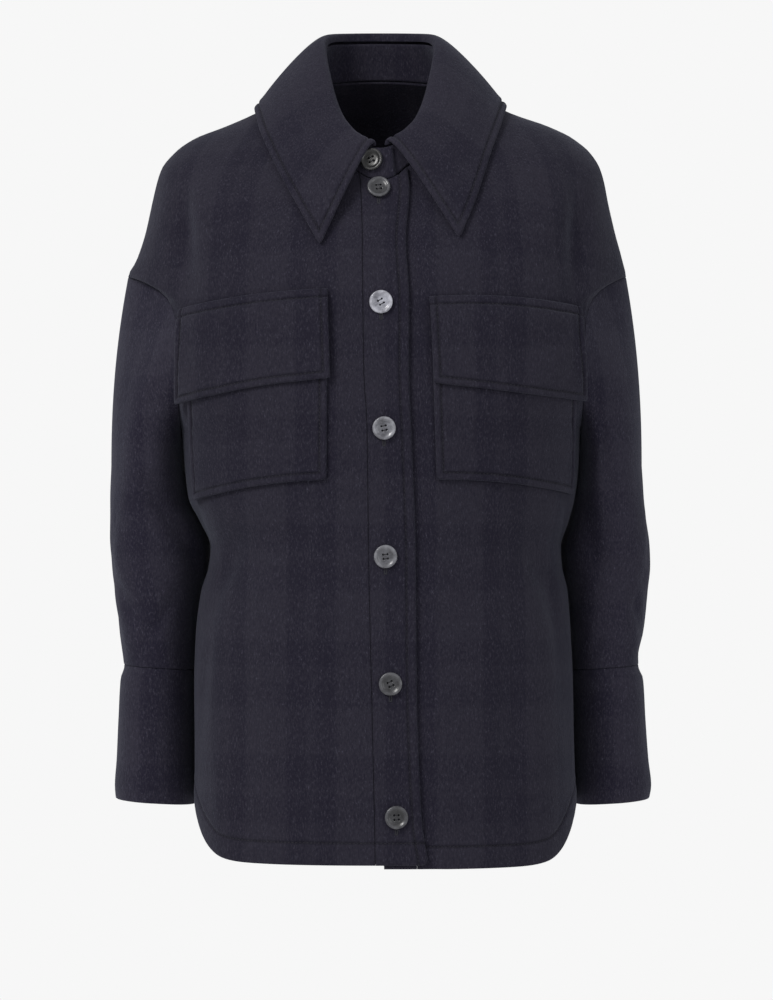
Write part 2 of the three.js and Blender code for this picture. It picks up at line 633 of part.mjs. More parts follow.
for (const [name, piece] of Object.entries(laidOn)) {
  const side = name.endsWith('right') ? -1 : 1;
  const spot = (k, u, v) => mix(
    mix(piece.topInner[k], piece.topOuter[k], u),
    mix(piece.bottomInner[k], piece.bottomOuter[k], u),
    v,
  );
  const layer = (depth) => (across, v) => {
    const u = Math.sin(across * sideTurn) / Math.sin(sideTurn);
    const sag = 4 * u * (1 - u) * mix(piece.sagTop, piece.sagBottom, v);
    const lift = piece.topLift ? mix(piece.topLift, piece.lift, ramp(0, flapTurn, v)) : piece.lift;
    return onBody(...frontAt(spot(0, u, v), spot(1, u, v) - sag), lift - depth);
  };
  jacket.add(wall(name, layer(0), {
    across: piece.across, down: piece.down, finish: bodyWool, lining: layer(wool),
  }));
}

// Buttons, turned discs with a raised rim and four holes.
function toManifold(geometry) {
  const bare = geometry.clone();
  bare.deleteAttribute('normal');
  bare.deleteAttribute('uv');
  const merged = mergeVertices(bare, 1e-4);
  return new wasm.Manifold(new wasm.Mesh({
    numProp: 3,
    vertProperties: new Float32Array(merged.attributes.position.array),
    triVerts: new Uint32Array(merged.index.array),
  }));
}
function fromManifold(manifold) {
  const { vertProperties, triVerts } = manifold.getMesh();
  const geometry = new THREE.BufferGeometry();
  geometry.setAttribute('position', new THREE.BufferAttribute(new Float32Array(vertProperties), 3));
  geometry.setIndex(new THREE.BufferAttribute(new Uint32Array(triVerts), 1));
  geometry.computeVertexNormals();
  return geometry;
}
const r = buttonRadius;
const h = buttonThickness;
const buttonProfile = [
  [0, 0], [r - 1.4, 0], [r, 1.1], [r, h - 1],
  [r - 1, h], [r - 2.2, h], [r - 3.6, h - buttonDish], [0, h - buttonDish],
].map(([x, y]) => new THREE.Vector2(x, y));
let button = toManifold(new THREE.LatheGeometry(buttonProfile, 18));
for (const [x, z] of [[-1, -1], [-1, 1], [1, -1], [1, 1]]) {
  const hole = new THREE.CylinderGeometry(buttonHoleRadius, buttonHoleRadius, 3 * h, 5);
  hole.translate(x * buttonHoleSpread, 0, z * buttonHoleSpread);
  button = button.subtract(toManifold(hole));
}
const buttonGeometry = fromManifold(button);

// Heights of the buttons. The first sits on the stand, the others on the band.
const buttonRows = [
  { z: -53.2, seat: 0.4 },
  { z: -79.4, seat: 0.7 },
  { z: -183.8, seat: 0.4 },
  { z: -296.6, seat: 0.4 },
  { z: -411.6, seat: 0.6 },
  { z: -525.7, seat: 0.4 },
  { z: -644.8, seat: 0.4 },
];
buttonRows.forEach(({ z, seat }, i) => {
  const mesh = new THREE.Mesh(buttonGeometry, horn);
  mesh.name = `button_${i + 1}`;
  const x = frontLines.button(z);
  let normal;
  if (i === 0) {
    const turn = Math.asin(x / foldHalf);
    const foot = standFace(turn, 0, bandLift);
    const share = (z - foot.z) / (standFace(turn, 1, bandLift).z - foot.z);
    normal = normalOf((a, b) => standFace(a, b, bandLift), turn, share, 1e-3, 1);
    mesh.position.copy(standFace(turn, share, bandLift)).addScaledVector(normal, seat);
  } else {
    const [angle, level] = frontAt(x, z);
    normal = bodyNormal(angle, level);
    mesh.position.copy(onBody(angle, level, bandLift + seat));
  }
  mesh.quaternion.setFromUnitVectors(new THREE.Vector3(0, 1, 0), normal);
  jacket.add(mesh);
});

export default jacket;
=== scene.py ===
import json
import math

import bpy
import numpy as np
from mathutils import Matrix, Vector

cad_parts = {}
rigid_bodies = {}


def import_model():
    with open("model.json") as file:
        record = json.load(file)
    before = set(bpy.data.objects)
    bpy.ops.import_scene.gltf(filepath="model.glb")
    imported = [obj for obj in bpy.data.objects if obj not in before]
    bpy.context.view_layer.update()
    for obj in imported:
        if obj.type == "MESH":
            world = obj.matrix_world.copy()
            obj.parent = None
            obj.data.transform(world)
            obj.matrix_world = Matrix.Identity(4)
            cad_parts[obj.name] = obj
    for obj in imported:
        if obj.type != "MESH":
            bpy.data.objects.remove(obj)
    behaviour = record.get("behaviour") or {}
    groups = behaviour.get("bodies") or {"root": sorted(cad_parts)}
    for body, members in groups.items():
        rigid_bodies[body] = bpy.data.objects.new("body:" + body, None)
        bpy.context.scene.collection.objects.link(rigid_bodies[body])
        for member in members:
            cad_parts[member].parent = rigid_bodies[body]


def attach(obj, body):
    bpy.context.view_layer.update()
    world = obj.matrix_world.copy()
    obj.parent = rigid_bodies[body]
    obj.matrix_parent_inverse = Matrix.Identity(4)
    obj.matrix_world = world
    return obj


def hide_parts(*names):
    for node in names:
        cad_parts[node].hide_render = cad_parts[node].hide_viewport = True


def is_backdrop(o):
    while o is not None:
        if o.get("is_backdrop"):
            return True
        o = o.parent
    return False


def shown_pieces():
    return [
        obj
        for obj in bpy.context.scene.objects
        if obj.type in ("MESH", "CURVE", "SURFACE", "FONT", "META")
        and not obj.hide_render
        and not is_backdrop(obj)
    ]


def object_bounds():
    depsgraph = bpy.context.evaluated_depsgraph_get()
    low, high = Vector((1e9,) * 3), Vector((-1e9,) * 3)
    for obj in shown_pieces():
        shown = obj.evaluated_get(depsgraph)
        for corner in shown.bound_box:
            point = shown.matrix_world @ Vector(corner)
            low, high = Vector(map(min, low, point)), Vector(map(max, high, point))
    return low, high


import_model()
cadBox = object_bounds()
metre = 0.001                  # one millimetre
pi = math.pi
rng = np.random.default_rng(11)

# Camera, light and floor

stage = {
    "cameraAcross": 6, "cameraHeight": -361, "cameraAway": 4000, "seenHeight": 930,
    "backdrop": 0.93, "worldLight": 0.5, "floorDrop": 750, "floorHalf": 4000,
    # place (m), size (m), power (W), colour
    "lights": {
        "keyLight": ((-1.9, -2.3, 1.9), 1.3, 60, (1, 0.99, 0.97)),
        "fillLight": ((1.9, -2.4, 0.3), 1.6, 9, (0.96, 0.98, 1)),
        "leftRim": ((-2.2, 1.3, 0.5), 1.2, 4, (0.94, 0.97, 1)),
    },
}

scene = bpy.context.scene
scene.view_settings.view_transform = "Standard"
camera = bpy.data.objects.new("camera", bpy.data.cameras.new("camera"))
scene.collection.objects.link(camera)
scene.camera = camera
camera.data.sensor_fit = "VERTICAL"
camera.data.sensor_height = 36
camera.data.lens = 36 * stage["cameraAway"] / stage["seenHeight"]
camera.data.clip_end = 40
camera.location = (stage["cameraAcross"] * metre, -stage["cameraAway"] * metre, 0)
camera.location.z = stage["cameraHeight"] * metre
camera.rotation_euler = (pi / 2, 0, 0)

aim = bpy.data.objects.new("aim", None)
scene.collection.objects.link(aim)
aim.location = (0, 0, stage["cameraHeight"] * metre)
for name, (place, size, power, colour) in stage["lights"].items():
    lamp = bpy.data.lights.new(name, "AREA")
    lamp.shape = "DISK"
    lamp.size = size
    lamp.energy = power
    lamp.color = colour
    light = bpy.data.objects.new(name, lamp)
    scene.collection.objects.link(light)
    light.location = place
    toAim = aim.location - light.location
    light.rotation_euler = toAim.to_track_quat("-Z", "Y").to_euler()


def addNode(tree, kind, values=None, **settings):
    # a node of a material, with its settings and the values of its inputs
    node = tree.nodes.new(kind)
    for key, value in settings.items():
        setattr(node, key, value)
    for key, value in (values or {}).items():
        node.inputs[key].default_value = value
    return node


world = bpy.data.worlds.new("studio")
scene.world = world
world.use_nodes = True
worldTree = world.node_tree
background = worldTree.nodes["Background"]
lightPath = addNode(worldTree, "ShaderNodeLightPath")
seenOrLit = addNode(worldTree, "ShaderNodeMix", data_type="FLOAT")
seenOrLit.inputs["A"].default_value = stage["worldLight"]
seenOrLit.inputs["B"].default_value = stage["backdrop"]
worldTree.links.new(lightPath.outputs["Is Camera Ray"], seenOrLit.inputs["Factor"])
worldTree.links.new(seenOrLit.outputs["Result"], background.inputs["Strength"])
background.inputs["Color"].default_value = (1, 1, 1, 1)

# Helpers for shapes


def ramp(start, end, x):
    # soft step from 0 at start to 1 at end
    t = np.clip((x - start) / (end - start), 0, 1)
    return t * t * (3 - 2 * t)


def mix(a, b, t):
    return a + (b - a) * t


def stack(x, y, z):
    return np.stack(np.broadcast_arrays(x, y, z), -1).astype(float)


def unit(vectors):
    return vectors / np.maximum(np.linalg.norm(vectors, axis=-1, keepdims=True), 1e-9)


def smoothTable(names, rows):
    # named columns, read by a smooth curve through the rows that never swings past them
    rows = np.array(sorted(rows), float)
    at = rows[:, 0]
    step = np.diff(at)
    curves = {}
    for name, y in zip(names.split(), rows.T):
        slope = np.diff(y) / step
        product = slope[:-1] * slope[1:]
        total = np.where(product > 0, slope[:-1] + slope[1:], 1)
        inside = np.where(product > 0, 2 * product / total, 0)
        curves[name] = y, np.concatenate([slope[:1], inside, slope[-1:]])

    def read(name, x):
        y, tangent = curves[name]
        x = np.clip(x, at[0], at[-1])
        i = np.clip(np.searchsorted(at, x, side="right") - 1, 0, len(at) - 2)
        t = (x - at[i]) / step[i]
        bend = t * (1 - t) ** 2 * tangent[i] - t * t * (1 - t) * tangent[i + 1]
        return mix(y[i], y[i + 1], t * t * (3 - 2 * t)) + step[i] * bend

    return read


def foldDepth(folds, degrees, z, perDegree):
    # soft troughs: a bell curve across each, and another along its length
    depth = np.zeros(np.broadcast(degrees, z).shape)
    for angle, height, width, length, lean, deep in folds:
        down = height - z
        turn = (degrees - angle + 180) % 360 - 180
        across = turn * perDegree - lean * down
        depth += deep * np.exp(-((across / width) ** 2) - (down / length) ** 2)
    return depth


# Body: rings from the neckline to the hem, each a superellipse that climbs to its ends

body = {
    "neckLevel": -72, "shoulderEndLevel": -240, "armpitLevel": -312, "hemLevel": -688,
    "armRowsEnd": -260, "leftHemDrop": 3.5, "wool": 2.5, "bandWool": 3.4, "bandGap": 1,
    "seamGap": 0.3, "sewnGap": 0.08,
    "armholeTop": -154, "armholeBottom": -296, "armholeFront": 84, "armholeBack": 74,
    "armholeTurn": 9, "tipRight": 234, "tipLeft": 228.5, "pitRight": 184, "pitLeft": 186,
    "bandLift": 1, "buttonSide": 17, "hiddenSide": 13, "besideEdge": 2.5, "sinkWidth": 15,
    "seamFade": 0.14,
    "foldScale": 2.7,
    # angle from the centre front, height, half width, half length, lean, depth
    "folds": [
        (-60, -118, 15, 46, 0.22, 8), (61, -116, 15, 48, -0.22, 8),
        (-122, -140, 17, 70, -0.2, 8), (121, -140, 17, 66, 0.2, 7.5),
        (-60, -432, 22, 48, -0.6, 4), (59, -436, 22, 52, 0.5, 4.5),
        (-40, -590, 24, 110, 0.12, 3.5), (38, -575, 24, 120, -0.1, 3.5),
        (-150, -470, 26, 150, -0.12, 5), (146, -450, 26, 170, 0.1, 5.5),
        (178, -560, 30, 130, 0.04, -4),
        # small ones
        (-52, -232, 9, 34, 0.5, 1.6), (54, -226, 10, 40, -0.45, 1.9),
        (-30, -128, 14, 30, 0.9, 1.2), (33, -132, 15, 34, -0.9, 1.3),
        (-66, -520, 14, 70, -0.2, 1.8), (66, -505, 15, 80, 0.15, 1.7),
        (-22, -610, 14, 80, 0.05, 1.1), (21, -622, 15, 70, -0.08, 1.3),
        (-54, -640, 13, 50, 0.1, -1.5), (55, -648, 14, 46, -0.12, -1.4),
        (-78, -380, 12, 34, -0.9, 1.7), (77, -384, 12, 38, 0.9, 1.8),
        (-30, -400, 20, 26, -1.2, 0.9), (31, -404, 20, 26, 1.2, 0.9),
        (-165, -200, 26, 60, 0.5, 1.8), (163, -210, 24, 66, -0.45, 1.9),
        (-108, -420, 14, 60, 0.5, 2.2), (110, -440, 15, 66, -0.5, 2),
        (-172, -330, 18, 40, 1.1, 1.6), (170, -352, 20, 44, -1, 1.5),
        (-128, -610, 18, 60, -0.1, 1.7), (131, -600, 17, 70, 0.12, 1.8),
        (-95, -590, 14, 50, 0.2, 1.4), (96, -580, 13, 60, -0.15, 1.5),
    ],
}
body["underBand"] = body["bandLift"] - body["bandWool"] - body["bandGap"]

rings = smoothTable("level side back right left armRight armLeft depthFront depthBack square rise", [
    [-72, 26, 34, 67, 67, 0, 0, 109, 62, 2.05, 2],
    [-94, -2, 12, 116, 122, 0, 0, 119, 86, 2.1, 2],
    [-112, -14, -8, 143, 156, 0, 0, 128.5, 101, 2.15, 2],
    [-130, -26, -30, 173, 180, 0, 0, 136.5, 111, 2.2, 2],
    [-147, -38, -54, 189, 192, 1, 2.5, 142, 119, 2.2, 2],
    [-165, -54, -82, 199, 199.6, 4, 5, 146, 126, 2.25, 2],
    [-186, -78, -114, 203, 204, 7, 6.5, 149, 131, 2.25, 2.1],
    [-208, -110, -146, 205, 205.5, 12, 12, 151, 134, 2.3, 2.2],
    [-228, -138, -174, 205.5, 206, 20.5, 19, 152.5, 135, 2.3, 2.2],
    [-240, -154, -190, 205.5, 206, 28.5, 22.5, 153, 135, 2.3, 2.2],
    [-260, -179, -224, 205, 205.8, 0, 0, 153, 134.5, 2.3, 2.2],
    [-312, -296, -300, 184, 186, 0, 0, 152, 128, 2.35, 2.2],
    [-334, -328, -330, 181.5, 184.5, 0, 0, 151.5, 125, 2.35, 2.1],
    [-358, -358, -358, 178, 181, 0, 0, 150, 122, 2.35, 2],
    [-381, -381, -381, 167, 175, 0, 0, 149, 120, 2.35, 2],
    [-404, -404, -404, 157.5, 168, 0, 0, 148, 119, 2.35, 2],
    [-422, -422, -422, 159, 169, 0, 0, 148, 119.5, 2.35, 2],
    [-445, -445, -445, 166, 174, 0, 0, 149, 121, 2.35, 2],
    [-485, -485, -484, 171, 177, 0, 0, 150, 124, 2.4, 2],
    [-530, -527, -529, 172.5, 179, 0, 0, 152, 127, 2.4, 3],
    [-600, -585, -599, 172, 180, 0, 0, 154, 130, 2.45, 7],
    [-688, -640, -686, 172, 182, 0, 0, 156, 133, 2.5, 12],
])

# Lines down the front: the band's seam, the middle of the buttons and the band's free edge.
lines = smoothTable("z seam button edge", [
    [-53.2, -20, -6.4, 20.9],
    [-66, -19, -2, 23.5],
    [-84, -17, -0.8, 27],
    [-127, -15.5, 0.4, 23.5],
    [-184, -15, 1.1, 26.5],
    [-245, -14.1, 2.5, 26.3],
    [-297, -11.2, 3.8, 28.2],
    [-412, -9.8, 5.1, 32.3],
    [-526, -7.3, 9.6, 33.1],
    [-645, -4.6, 14.9, 37.5],
    [-690, -3.8, 17, 44],
])


def armShare(angle):
    # how far the shoulder has swollen past the trunk at an angle
    return ramp(math.radians(55), pi / 2, angle)


def armhole(side, turn):
    # armhole seam: turn is 0 at the shoulder tip, a quarter at the front, a half at the armpit
    near = ((1 + np.cos(turn)) / 2) ** body["armholeTurn"]
    reach = np.where(np.sin(turn) > 0, body["armholeFront"], body["armholeBack"])
    pit = np.where(side < 0, body["pitRight"], body["pitLeft"])
    tip = np.where(side < 0, body["tipRight"], body["tipLeft"])
    height = mix(body["armholeBottom"], body["armholeTop"], (1 + np.cos(turn)) / 2)
    return stack(side * mix(pit, tip, near), -reach * np.sin(turn), height)


def ringAt(level, side, front):
    # a ring with its end on the shoulder seam, on the armhole or on the side seam
    square = rings("square", level)
    depth = np.where(front, rings("depthFront", level), rings("depthBack", level))
    half = np.where(side < 0, rings("right", level), rings("left", level))
    arm = np.where(side < 0, rings("armRight", level), rings("armLeft", level))
    turn = pi * (level - body["shoulderEndLevel"]) / (body["armpitLevel"] - body["shoulderEndLevel"])
    seam = np.abs(armhole(side, np.where(front, turn, 2 * pi - turn)) * (1, 1, -1))
    onSeam = (level < body["shoulderEndLevel"]) & (level > body["armpitLevel"])
    edgeX = np.where(onSeam, seam[..., 0], half + arm)
    edgeY = np.where(onSeam, seam[..., 1], 0)
    edgeZ = np.where(onSeam, -seam[..., 2], rings("side", level))
    reach = np.minimum(1, np.maximum(edgeY, body["seamGap"] / 2) / depth)
    edgeAngle = np.arccos(reach ** (square / 2))
    edgeSine = np.sin(edgeAngle) ** (2 / square)
    swells = level > body["armRowsEnd"]
    arm = np.where(swells, (edgeX - half * edgeSine) / np.maximum(armShare(edgeAngle), 1e-6), 0)
    half = np.where(swells, half, edgeX / edgeSine)
    return square, depth, half, arm, edgeZ, edgeAngle


def bodyPoint(angle, level):
    # the outer face of the body: the ring's curve, its climb to the end, and the folds pushed in
    angle, level = np.broadcast_arrays(angle, np.asarray(level, float))
    angle = (angle + pi) % (2 * pi) - pi
    side = np.where(angle < 0, -1, 1)
    front = np.abs(angle) <= pi / 2
    square, depth, half, arm, edgeZ, edgeAngle = ringAt(level, side, front)
    sine = np.abs(np.sin(angle))
    cosine = np.abs(np.cos(angle))
    fromMiddle = np.arcsin(np.minimum(1, sine))
    x = side * (half * sine ** (2 / square) + arm * armShare(fromMiddle))
    y = np.where(front, -1, 1) * depth * cosine ** (2 / square)
    climb = np.minimum(1, sine / np.sin(edgeAngle)) ** rings("rise", level)
    z = mix(np.where(front, level, rings("back", level)), edgeZ, climb)
    inward = unit(stack(x / half ** 2, y / depth ** 2, 0))
    fade = np.where(level < body["shoulderEndLevel"], ramp(0, body["seamFade"], edgeAngle - fromMiddle), 1)
    fold = fade * foldDepth(body["folds"], np.degrees(angle), z, body["foldScale"])
    return stack(x, y, z) - inward * fold[..., None]


def bodyNormal(angle, level):
    alongRing = bodyPoint(angle + 0.01, level) - bodyPoint(angle - 0.01, level)
    upBody = bodyPoint(angle, level + 1) - bodyPoint(angle, level - 1)
    return unit(np.cross(alongRing, upBody))


def onBody(angle, level, lift):
    return bodyPoint(angle, level) + bodyNormal(angle, level) * np.asarray(lift)[..., None]


def angleAtX(x, level):
    # angle at which a ring passes x on the front
    square, depth, half, arm, edgeZ, edgeAngle = ringAt(level, np.where(x < 0, -1, 1), True)
    return np.sign(x) * np.arcsin(np.minimum(1, np.abs(x) / half) ** (square / 2))


def frontAt(x, z):
    # angle and level of the body's front at x and z, by steps along its slopes
    x, z = np.broadcast_arrays(np.asarray(x, float), np.asarray(z, float))
    level = z.copy()
    angle = angleAtX(x, level)
    for _ in range(14):
        here = bodyPoint(angle, level)
        byAngle = (bodyPoint(angle + 1e-3, level) - here) * 1e3
        byLevel = (bodyPoint(angle, level + 0.1) - here) * 10
        det = byAngle[..., 0] * byLevel[..., 2] - byLevel[..., 0] * byAngle[..., 2]
        missX = x - here[..., 0]
        missZ = z - here[..., 2]
        angle = angle + np.clip((missX * byLevel[..., 2] - missZ * byLevel[..., 0]) / det, -0.3, 0.3)
        level = level + np.clip((missZ * byAngle[..., 0] - missX * byAngle[..., 2]) / det, -30, 30)
        level = np.clip(level, body["hemLevel"] - 10, body["neckLevel"])
    return angle, level


def hemDrop(level):
    # the left front hangs a little lower near the hem
    share = np.clip((level - body["armpitLevel"]) / (body["hemLevel"] - body["armpitLevel"]), 0, 1)
    return body["leftHemDrop"] * ramp(0.8, 1, 0.6 + 0.4 * share ** 0.91)


# Wool and its finish

woolLook = {
    "navy": (0.0112, 0.0098, 0.0200), "charcoal": (0.0232, 0.0212, 0.0330),
    "fleck": (0.088, 0.084, 0.125),
    "warpPeriod": 0.090, "warpWidth": 0.044, "weftPeriod": 0.104, "weftWidth": 0.044,
    "sheen": 0.10, "sheenRoughness": 0.42, "sheenTint": (0.72, 0.79, 1, 1),
}


def bandOf(tree, along, period, width, shift, soft=0.003):
    # 1 inside a stripe of that width that comes back every period
    moved = addNode(tree, "ShaderNodeMath", {1: shift}, operation="ADD")
    tree.links.new(along, moved.inputs[0])
    back = addNode(tree, "ShaderNodeMath", {1: period / 2}, operation="PINGPONG")
    tree.links.new(moved.outputs[0], back.inputs[0])
    edge = addNode(tree, "ShaderNodeMapRange", {
        "From Min": width / 2 - soft, "From Max": width / 2 + soft, "To Min": 1, "To Max": 0,
    }, interpolation_type="SMOOTHSTEP")
    tree.links.new(back.outputs[0], edge.inputs["Value"])
    return edge.outputs["Result"]


def combine(tree, operation, first, second):
    # one Math node, whose inputs are numbers or other nodes' outputs
    node = addNode(tree, "ShaderNodeMath", operation=operation)
    for place, value in enumerate((first, second)):
        if isinstance(value, (int, float)):
            node.inputs[place].default_value = value
        else:
            tree.links.new(value, node.inputs[place])
    return node.outputs[0]


def noiseOf(tree, vector, scale, detail=2, roughness=0.5):
    noise = addNode(tree, "ShaderNodeTexNoise", {"Scale": scale, "Detail": detail, "Roughness": roughness})
    tree.links.new(vector, noise.inputs["Vector"])
    return noise.outputs["Fac"]


def blend(tree, factor, first, second, kind="MIX"):
    # mixes two colours, given as numbers or as other nodes' outputs
    node = addNode(tree, "ShaderNodeMix", data_type="RGBA", blend_type=kind)
    for key, value in (("Factor", factor), ("A", first), ("B", second)):
        socket = [s for s in node.inputs if s.name == key and s.enabled][0]
        if isinstance(value, bpy.types.NodeSocket):
            tree.links.new(value, socket)
        else:
            socket.default_value = value if isinstance(value, float) else (*value, 1)
    return [s for s in node.outputs if s.enabled][0]


def spreadValue(tree, value, start, end, low=0.0, high=1.0):
    node = addNode(tree, "ShaderNodeMapRange", {
        "From Min": start, "From Max": end, "To Min": low, "To Max": high,
    })
    tree.links.new(value, node.inputs["Value"])
    return node.outputs["Result"]


def newMaterial(name):
    # a material with its tree, its shader and the place on the object
    material = bpy.data.materials.new(name)
    material.use_nodes = True
    tree = material.node_tree
    space = addNode(tree, "ShaderNodeTexCoord").outputs["Object"]
    return material, tree, tree.nodes["Principled BSDF"], space


def addBump(tree, shader, height, strength, distance):
    bump = addNode(tree, "ShaderNodeBump", {"Strength": strength, "Distance": distance})
    tree.links.new(height, bump.inputs["Height"])
    tree.links.new(bump.outputs["Normal"], shader.inputs["Normal"])


def woolMaterial(name, paintedLightScale):
    material, tree, shader, space = newMaterial(name)
    cut = addNode(tree, "ShaderNodeUVMap", uv_map="cloth")
    grain = addNode(tree, "ShaderNodeSeparateXYZ")
    tree.links.new(cut.outputs["UV"], grain.inputs[0])
    across = grain.outputs["X"]
    down = grain.outputs["Y"]
    # faint check: wide stripes with a narrow one between them, both ways
    warp = bandOf(tree, across, woolLook["warpPeriod"], woolLook["warpWidth"], 0.017)
    warpLine = bandOf(tree, across, woolLook["warpPeriod"], 0.010, 0.062)
    weft = bandOf(tree, down, woolLook["weftPeriod"], woolLook["weftWidth"], 0.055)
    weftLine = bandOf(tree, down, woolLook["weftPeriod"], 0.014, 0.003)
    check = 0.20
    for stripe, strength in ((warp, 0.42), (weft, 0.24), (warpLine, 0.18), (weftLine, 0.16)):
        check = combine(tree, "ADD", combine(tree, "MULTIPLY", stripe, strength), check)
    # heathered fibres: blotches, flecks about a millimetre across and a fine grain drawn downwards
    stretched = addNode(tree, "ShaderNodeMapping", {"Scale": (1, 1, 0.38)})
    tree.links.new(space, stretched.inputs["Vector"])
    blotch = noiseOf(tree, space, 46, 4, 0.6)
    fleck = noiseOf(tree, stretched.outputs["Vector"], 760, 3, 0.75)
    fine = noiseOf(tree, stretched.outputs["Vector"], 1500, 2, 0.6)
    mixed = combine(tree, "ADD", check, spreadValue(tree, blotch, 0.3, 0.7, -0.16, 0.16))
    mixed = combine(tree, "ADD", mixed, spreadValue(tree, fleck, 0.3, 0.7, -0.75, 0.75))
    colour = blend(tree, mixed, woolLook["navy"], woolLook["charcoal"])
    bright = spreadValue(tree, fleck, 0.55, 0.72)
    light = combine(tree, "MULTIPLY", bright, spreadValue(tree, fine, 0.42, 0.62))
    colour = blend(tree, combine(tree, "MULTIPLY", light, 0.55), colour, woolLook["fleck"])
    # painted shade: grooves at stitches and seams are darkened in the colour, read from the groove
    # attribute
    groove = addNode(tree, "ShaderNodeAttribute", attribute_name="groove")
    shade = spreadValue(tree, groove.outputs["Fac"], 0, 1, paintedLightScale, paintedLightScale * 0.55)
    grey = addNode(tree, "ShaderNodeCombineColor")
    for channel in ("Red", "Green", "Blue"):
        tree.links.new(shade, grey.inputs[channel])
    colour = blend(tree, 1.0, colour, grey.outputs["Color"], "MULTIPLY")
    tree.links.new(colour, shader.inputs["Base Color"])
    tree.links.new(spreadValue(tree, blotch, 0.3, 0.7, 0.88, 0.98), shader.inputs["Roughness"])
    shader.inputs["Specular IOR Level"].default_value = 0.2
    shader.inputs["Sheen Weight"].default_value = woolLook["sheen"]
    shader.inputs["Sheen Roughness"].default_value = woolLook["sheenRoughness"]
    shader.inputs["Sheen Tint"].default_value = woolLook["sheenTint"]
    # nap: fine felted grain over slow hollows
    nap = combine(tree, "ADD", combine(tree, "MULTIPLY", fleck, 0.7), combine(tree, "MULTIPLY", fine, 0.4))
    felt = noiseOf(tree, space, 190, 2, 0.5)
    nap = combine(tree, "ADD", nap, combine(tree, "MULTIPLY", felt, 0.9))
    addBump(tree, shader, nap, 0.8, 0.0007)
    return material


# painted light: one wool scaled 1.04 on the body, 1.08 on the collar and 1.3 on the sleeves, so collar and
# sleeves look more lit
bodyWool = woolMaterial("bodyWool", 1.04)
collarWool = woolMaterial("collarWool", 1.08)
sleeveWool = woolMaterial("sleeveWool", 1.3)


def threadMaterial():
    # thread of the wool's colour, with its twist as bump
    material, tree, shader, space = newMaterial("thread")
    speck = noiseOf(tree, space, 1200, 2, 0.5)
    colour = blend(tree, speck, (0.007, 0.007, 0.012), (0.020, 0.020, 0.028))
    tree.links.new(colour, shader.inputs["Base Color"])
    tree.links.new(spreadValue(tree, speck, 0.3, 0.7, 0.6, 0.8), shader.inputs["Roughness"])
    addBump(tree, shader, speck, 0.5, 0.0002)
    return material


thread = threadMaterial()
print("stage and finishes made")

# Making cloth walls and stitches


def addObject(name, vertices, faces):
    # puts a mesh in the scene; its vertices come in mm
    mesh = bpy.data.meshes.new(name)
    mesh.from_pydata(vertices * metre, [], faces)
    made = bpy.data.objects.new(name, mesh)
    scene.collection.objects.link(made)
    return made


def addMesh(name, vertices, faces, material, nodes=(), uv=None, groove=None):
    # a smooth piece that rides on the jacket
    piece = addObject(name, vertices, faces)
    mesh = piece.data
    mesh.polygons.foreach_set("use_smooth", np.ones(len(faces), bool))
    if uv is not None:
        layer = mesh.uv_layers.new(name="cloth")
        layer.data.foreach_set("uv", (uv * metre).astype(np.float32).ravel())
    # groove: painted shade at each point, which darkens the wool's colour
    if groove is not None:
        depths = mesh.attributes.new("groove", "FLOAT", "POINT")
        depths.data.foreach_set("value", groove.astype(np.float32))
    mesh.materials.append(material)
    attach(piece, "root")
    if nodes:
        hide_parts(*nodes)
    return piece


def lengthAlong(points, axis=0):
    # length from the first point of a line, or along one axis of a grid
    gaps = np.linalg.norm(np.diff(points, axis=axis), axis=-1)
    return np.concatenate([np.zeros_like(np.take(gaps, [0], axis)), np.cumsum(gaps, axis=axis)], axis)


def pointsAt(at, far, line):
    # points of a line at given lengths
    return np.stack([np.interp(at, far, column) for column in line.T], -1)


def closeRing(grid):
    # the first column again at the end
    return np.concatenate([grid, grid[:, :1]], 1)


def quads(index):
    return np.stack([index[:-1, :-1], index[:-1, 1:], index[1:, 1:], index[1:, :-1]], -1).reshape(-1, 4)


def strip(first, second):
    return np.stack([first[:-1], second[:-1], second[1:], first[1:]], -1)


def wallFaces(rowCount, columnCount, closed, shift):
    # corners of an outer grid, an inner grid that starts at shift, and the strips that join them
    wide = columnCount + 1 if closed else columnCount
    index = np.arange(rowCount * wide).reshape(rowCount, wide)
    if closed and shift:
        index = closeRing(np.arange(rowCount * columnCount).reshape(rowCount, columnCount))
    inner = index + shift
    parts = [quads(index), quads(inner)[:, ::-1], strip(index[0], inner[0]), strip(inner[-1], index[-1])]
    if not closed:
        parts += [strip(inner[:, 0], index[:, 0]), strip(index[:, -1], inner[:, -1])]
    return np.concatenate(parts)


def gridNormals(points, closed):
    # normals from the neighbours along rows and columns
    if closed:
        across = np.roll(points, -1, 1) - np.roll(points, 1, 1)
    else:
        across = np.gradient(points, axis=1)
    return unit(np.cross(across, np.gradient(points, axis=0)))


def distanceTo(points, line):
    # distance of every point of a grid to a line of points
    flat = points.reshape(-1, 3)
    best = np.full(len(flat), 1e12)
    for start, along in zip(line[:-1], np.diff(line, axis=0)):
        gap = flat - start
        t = np.clip(gap @ along / max(along @ along, 1e-9), 0, 1)
        gap = gap - t[:, None] * along
        best = np.minimum(best, np.einsum("ij,ij->i", gap, gap))
    return np.sqrt(best).reshape(points.shape[:-1])


def ripple(points):
    # uneven waves 11 to 20 mm long, for the pucker beside stitches
    first = np.sin(points @ (0.36, 0.1, 0.41) + 1.3)
    second = np.sin(points @ (-0.29, 0.12, 0.5) + 0.4)
    third = np.sin(points @ (0.13, 0.05, 0.17))
    return 0.4 * first + 0.35 * second + 0.25 * third


def inwardFrom(side, grid):
    # turns a grid so that its second axis leads inwards from that side
    if side in ("top", "bottom"):
        grid = grid.swapaxes(0, 1)
    return grid if side in ("left", "top") else grid[:, ::-1]


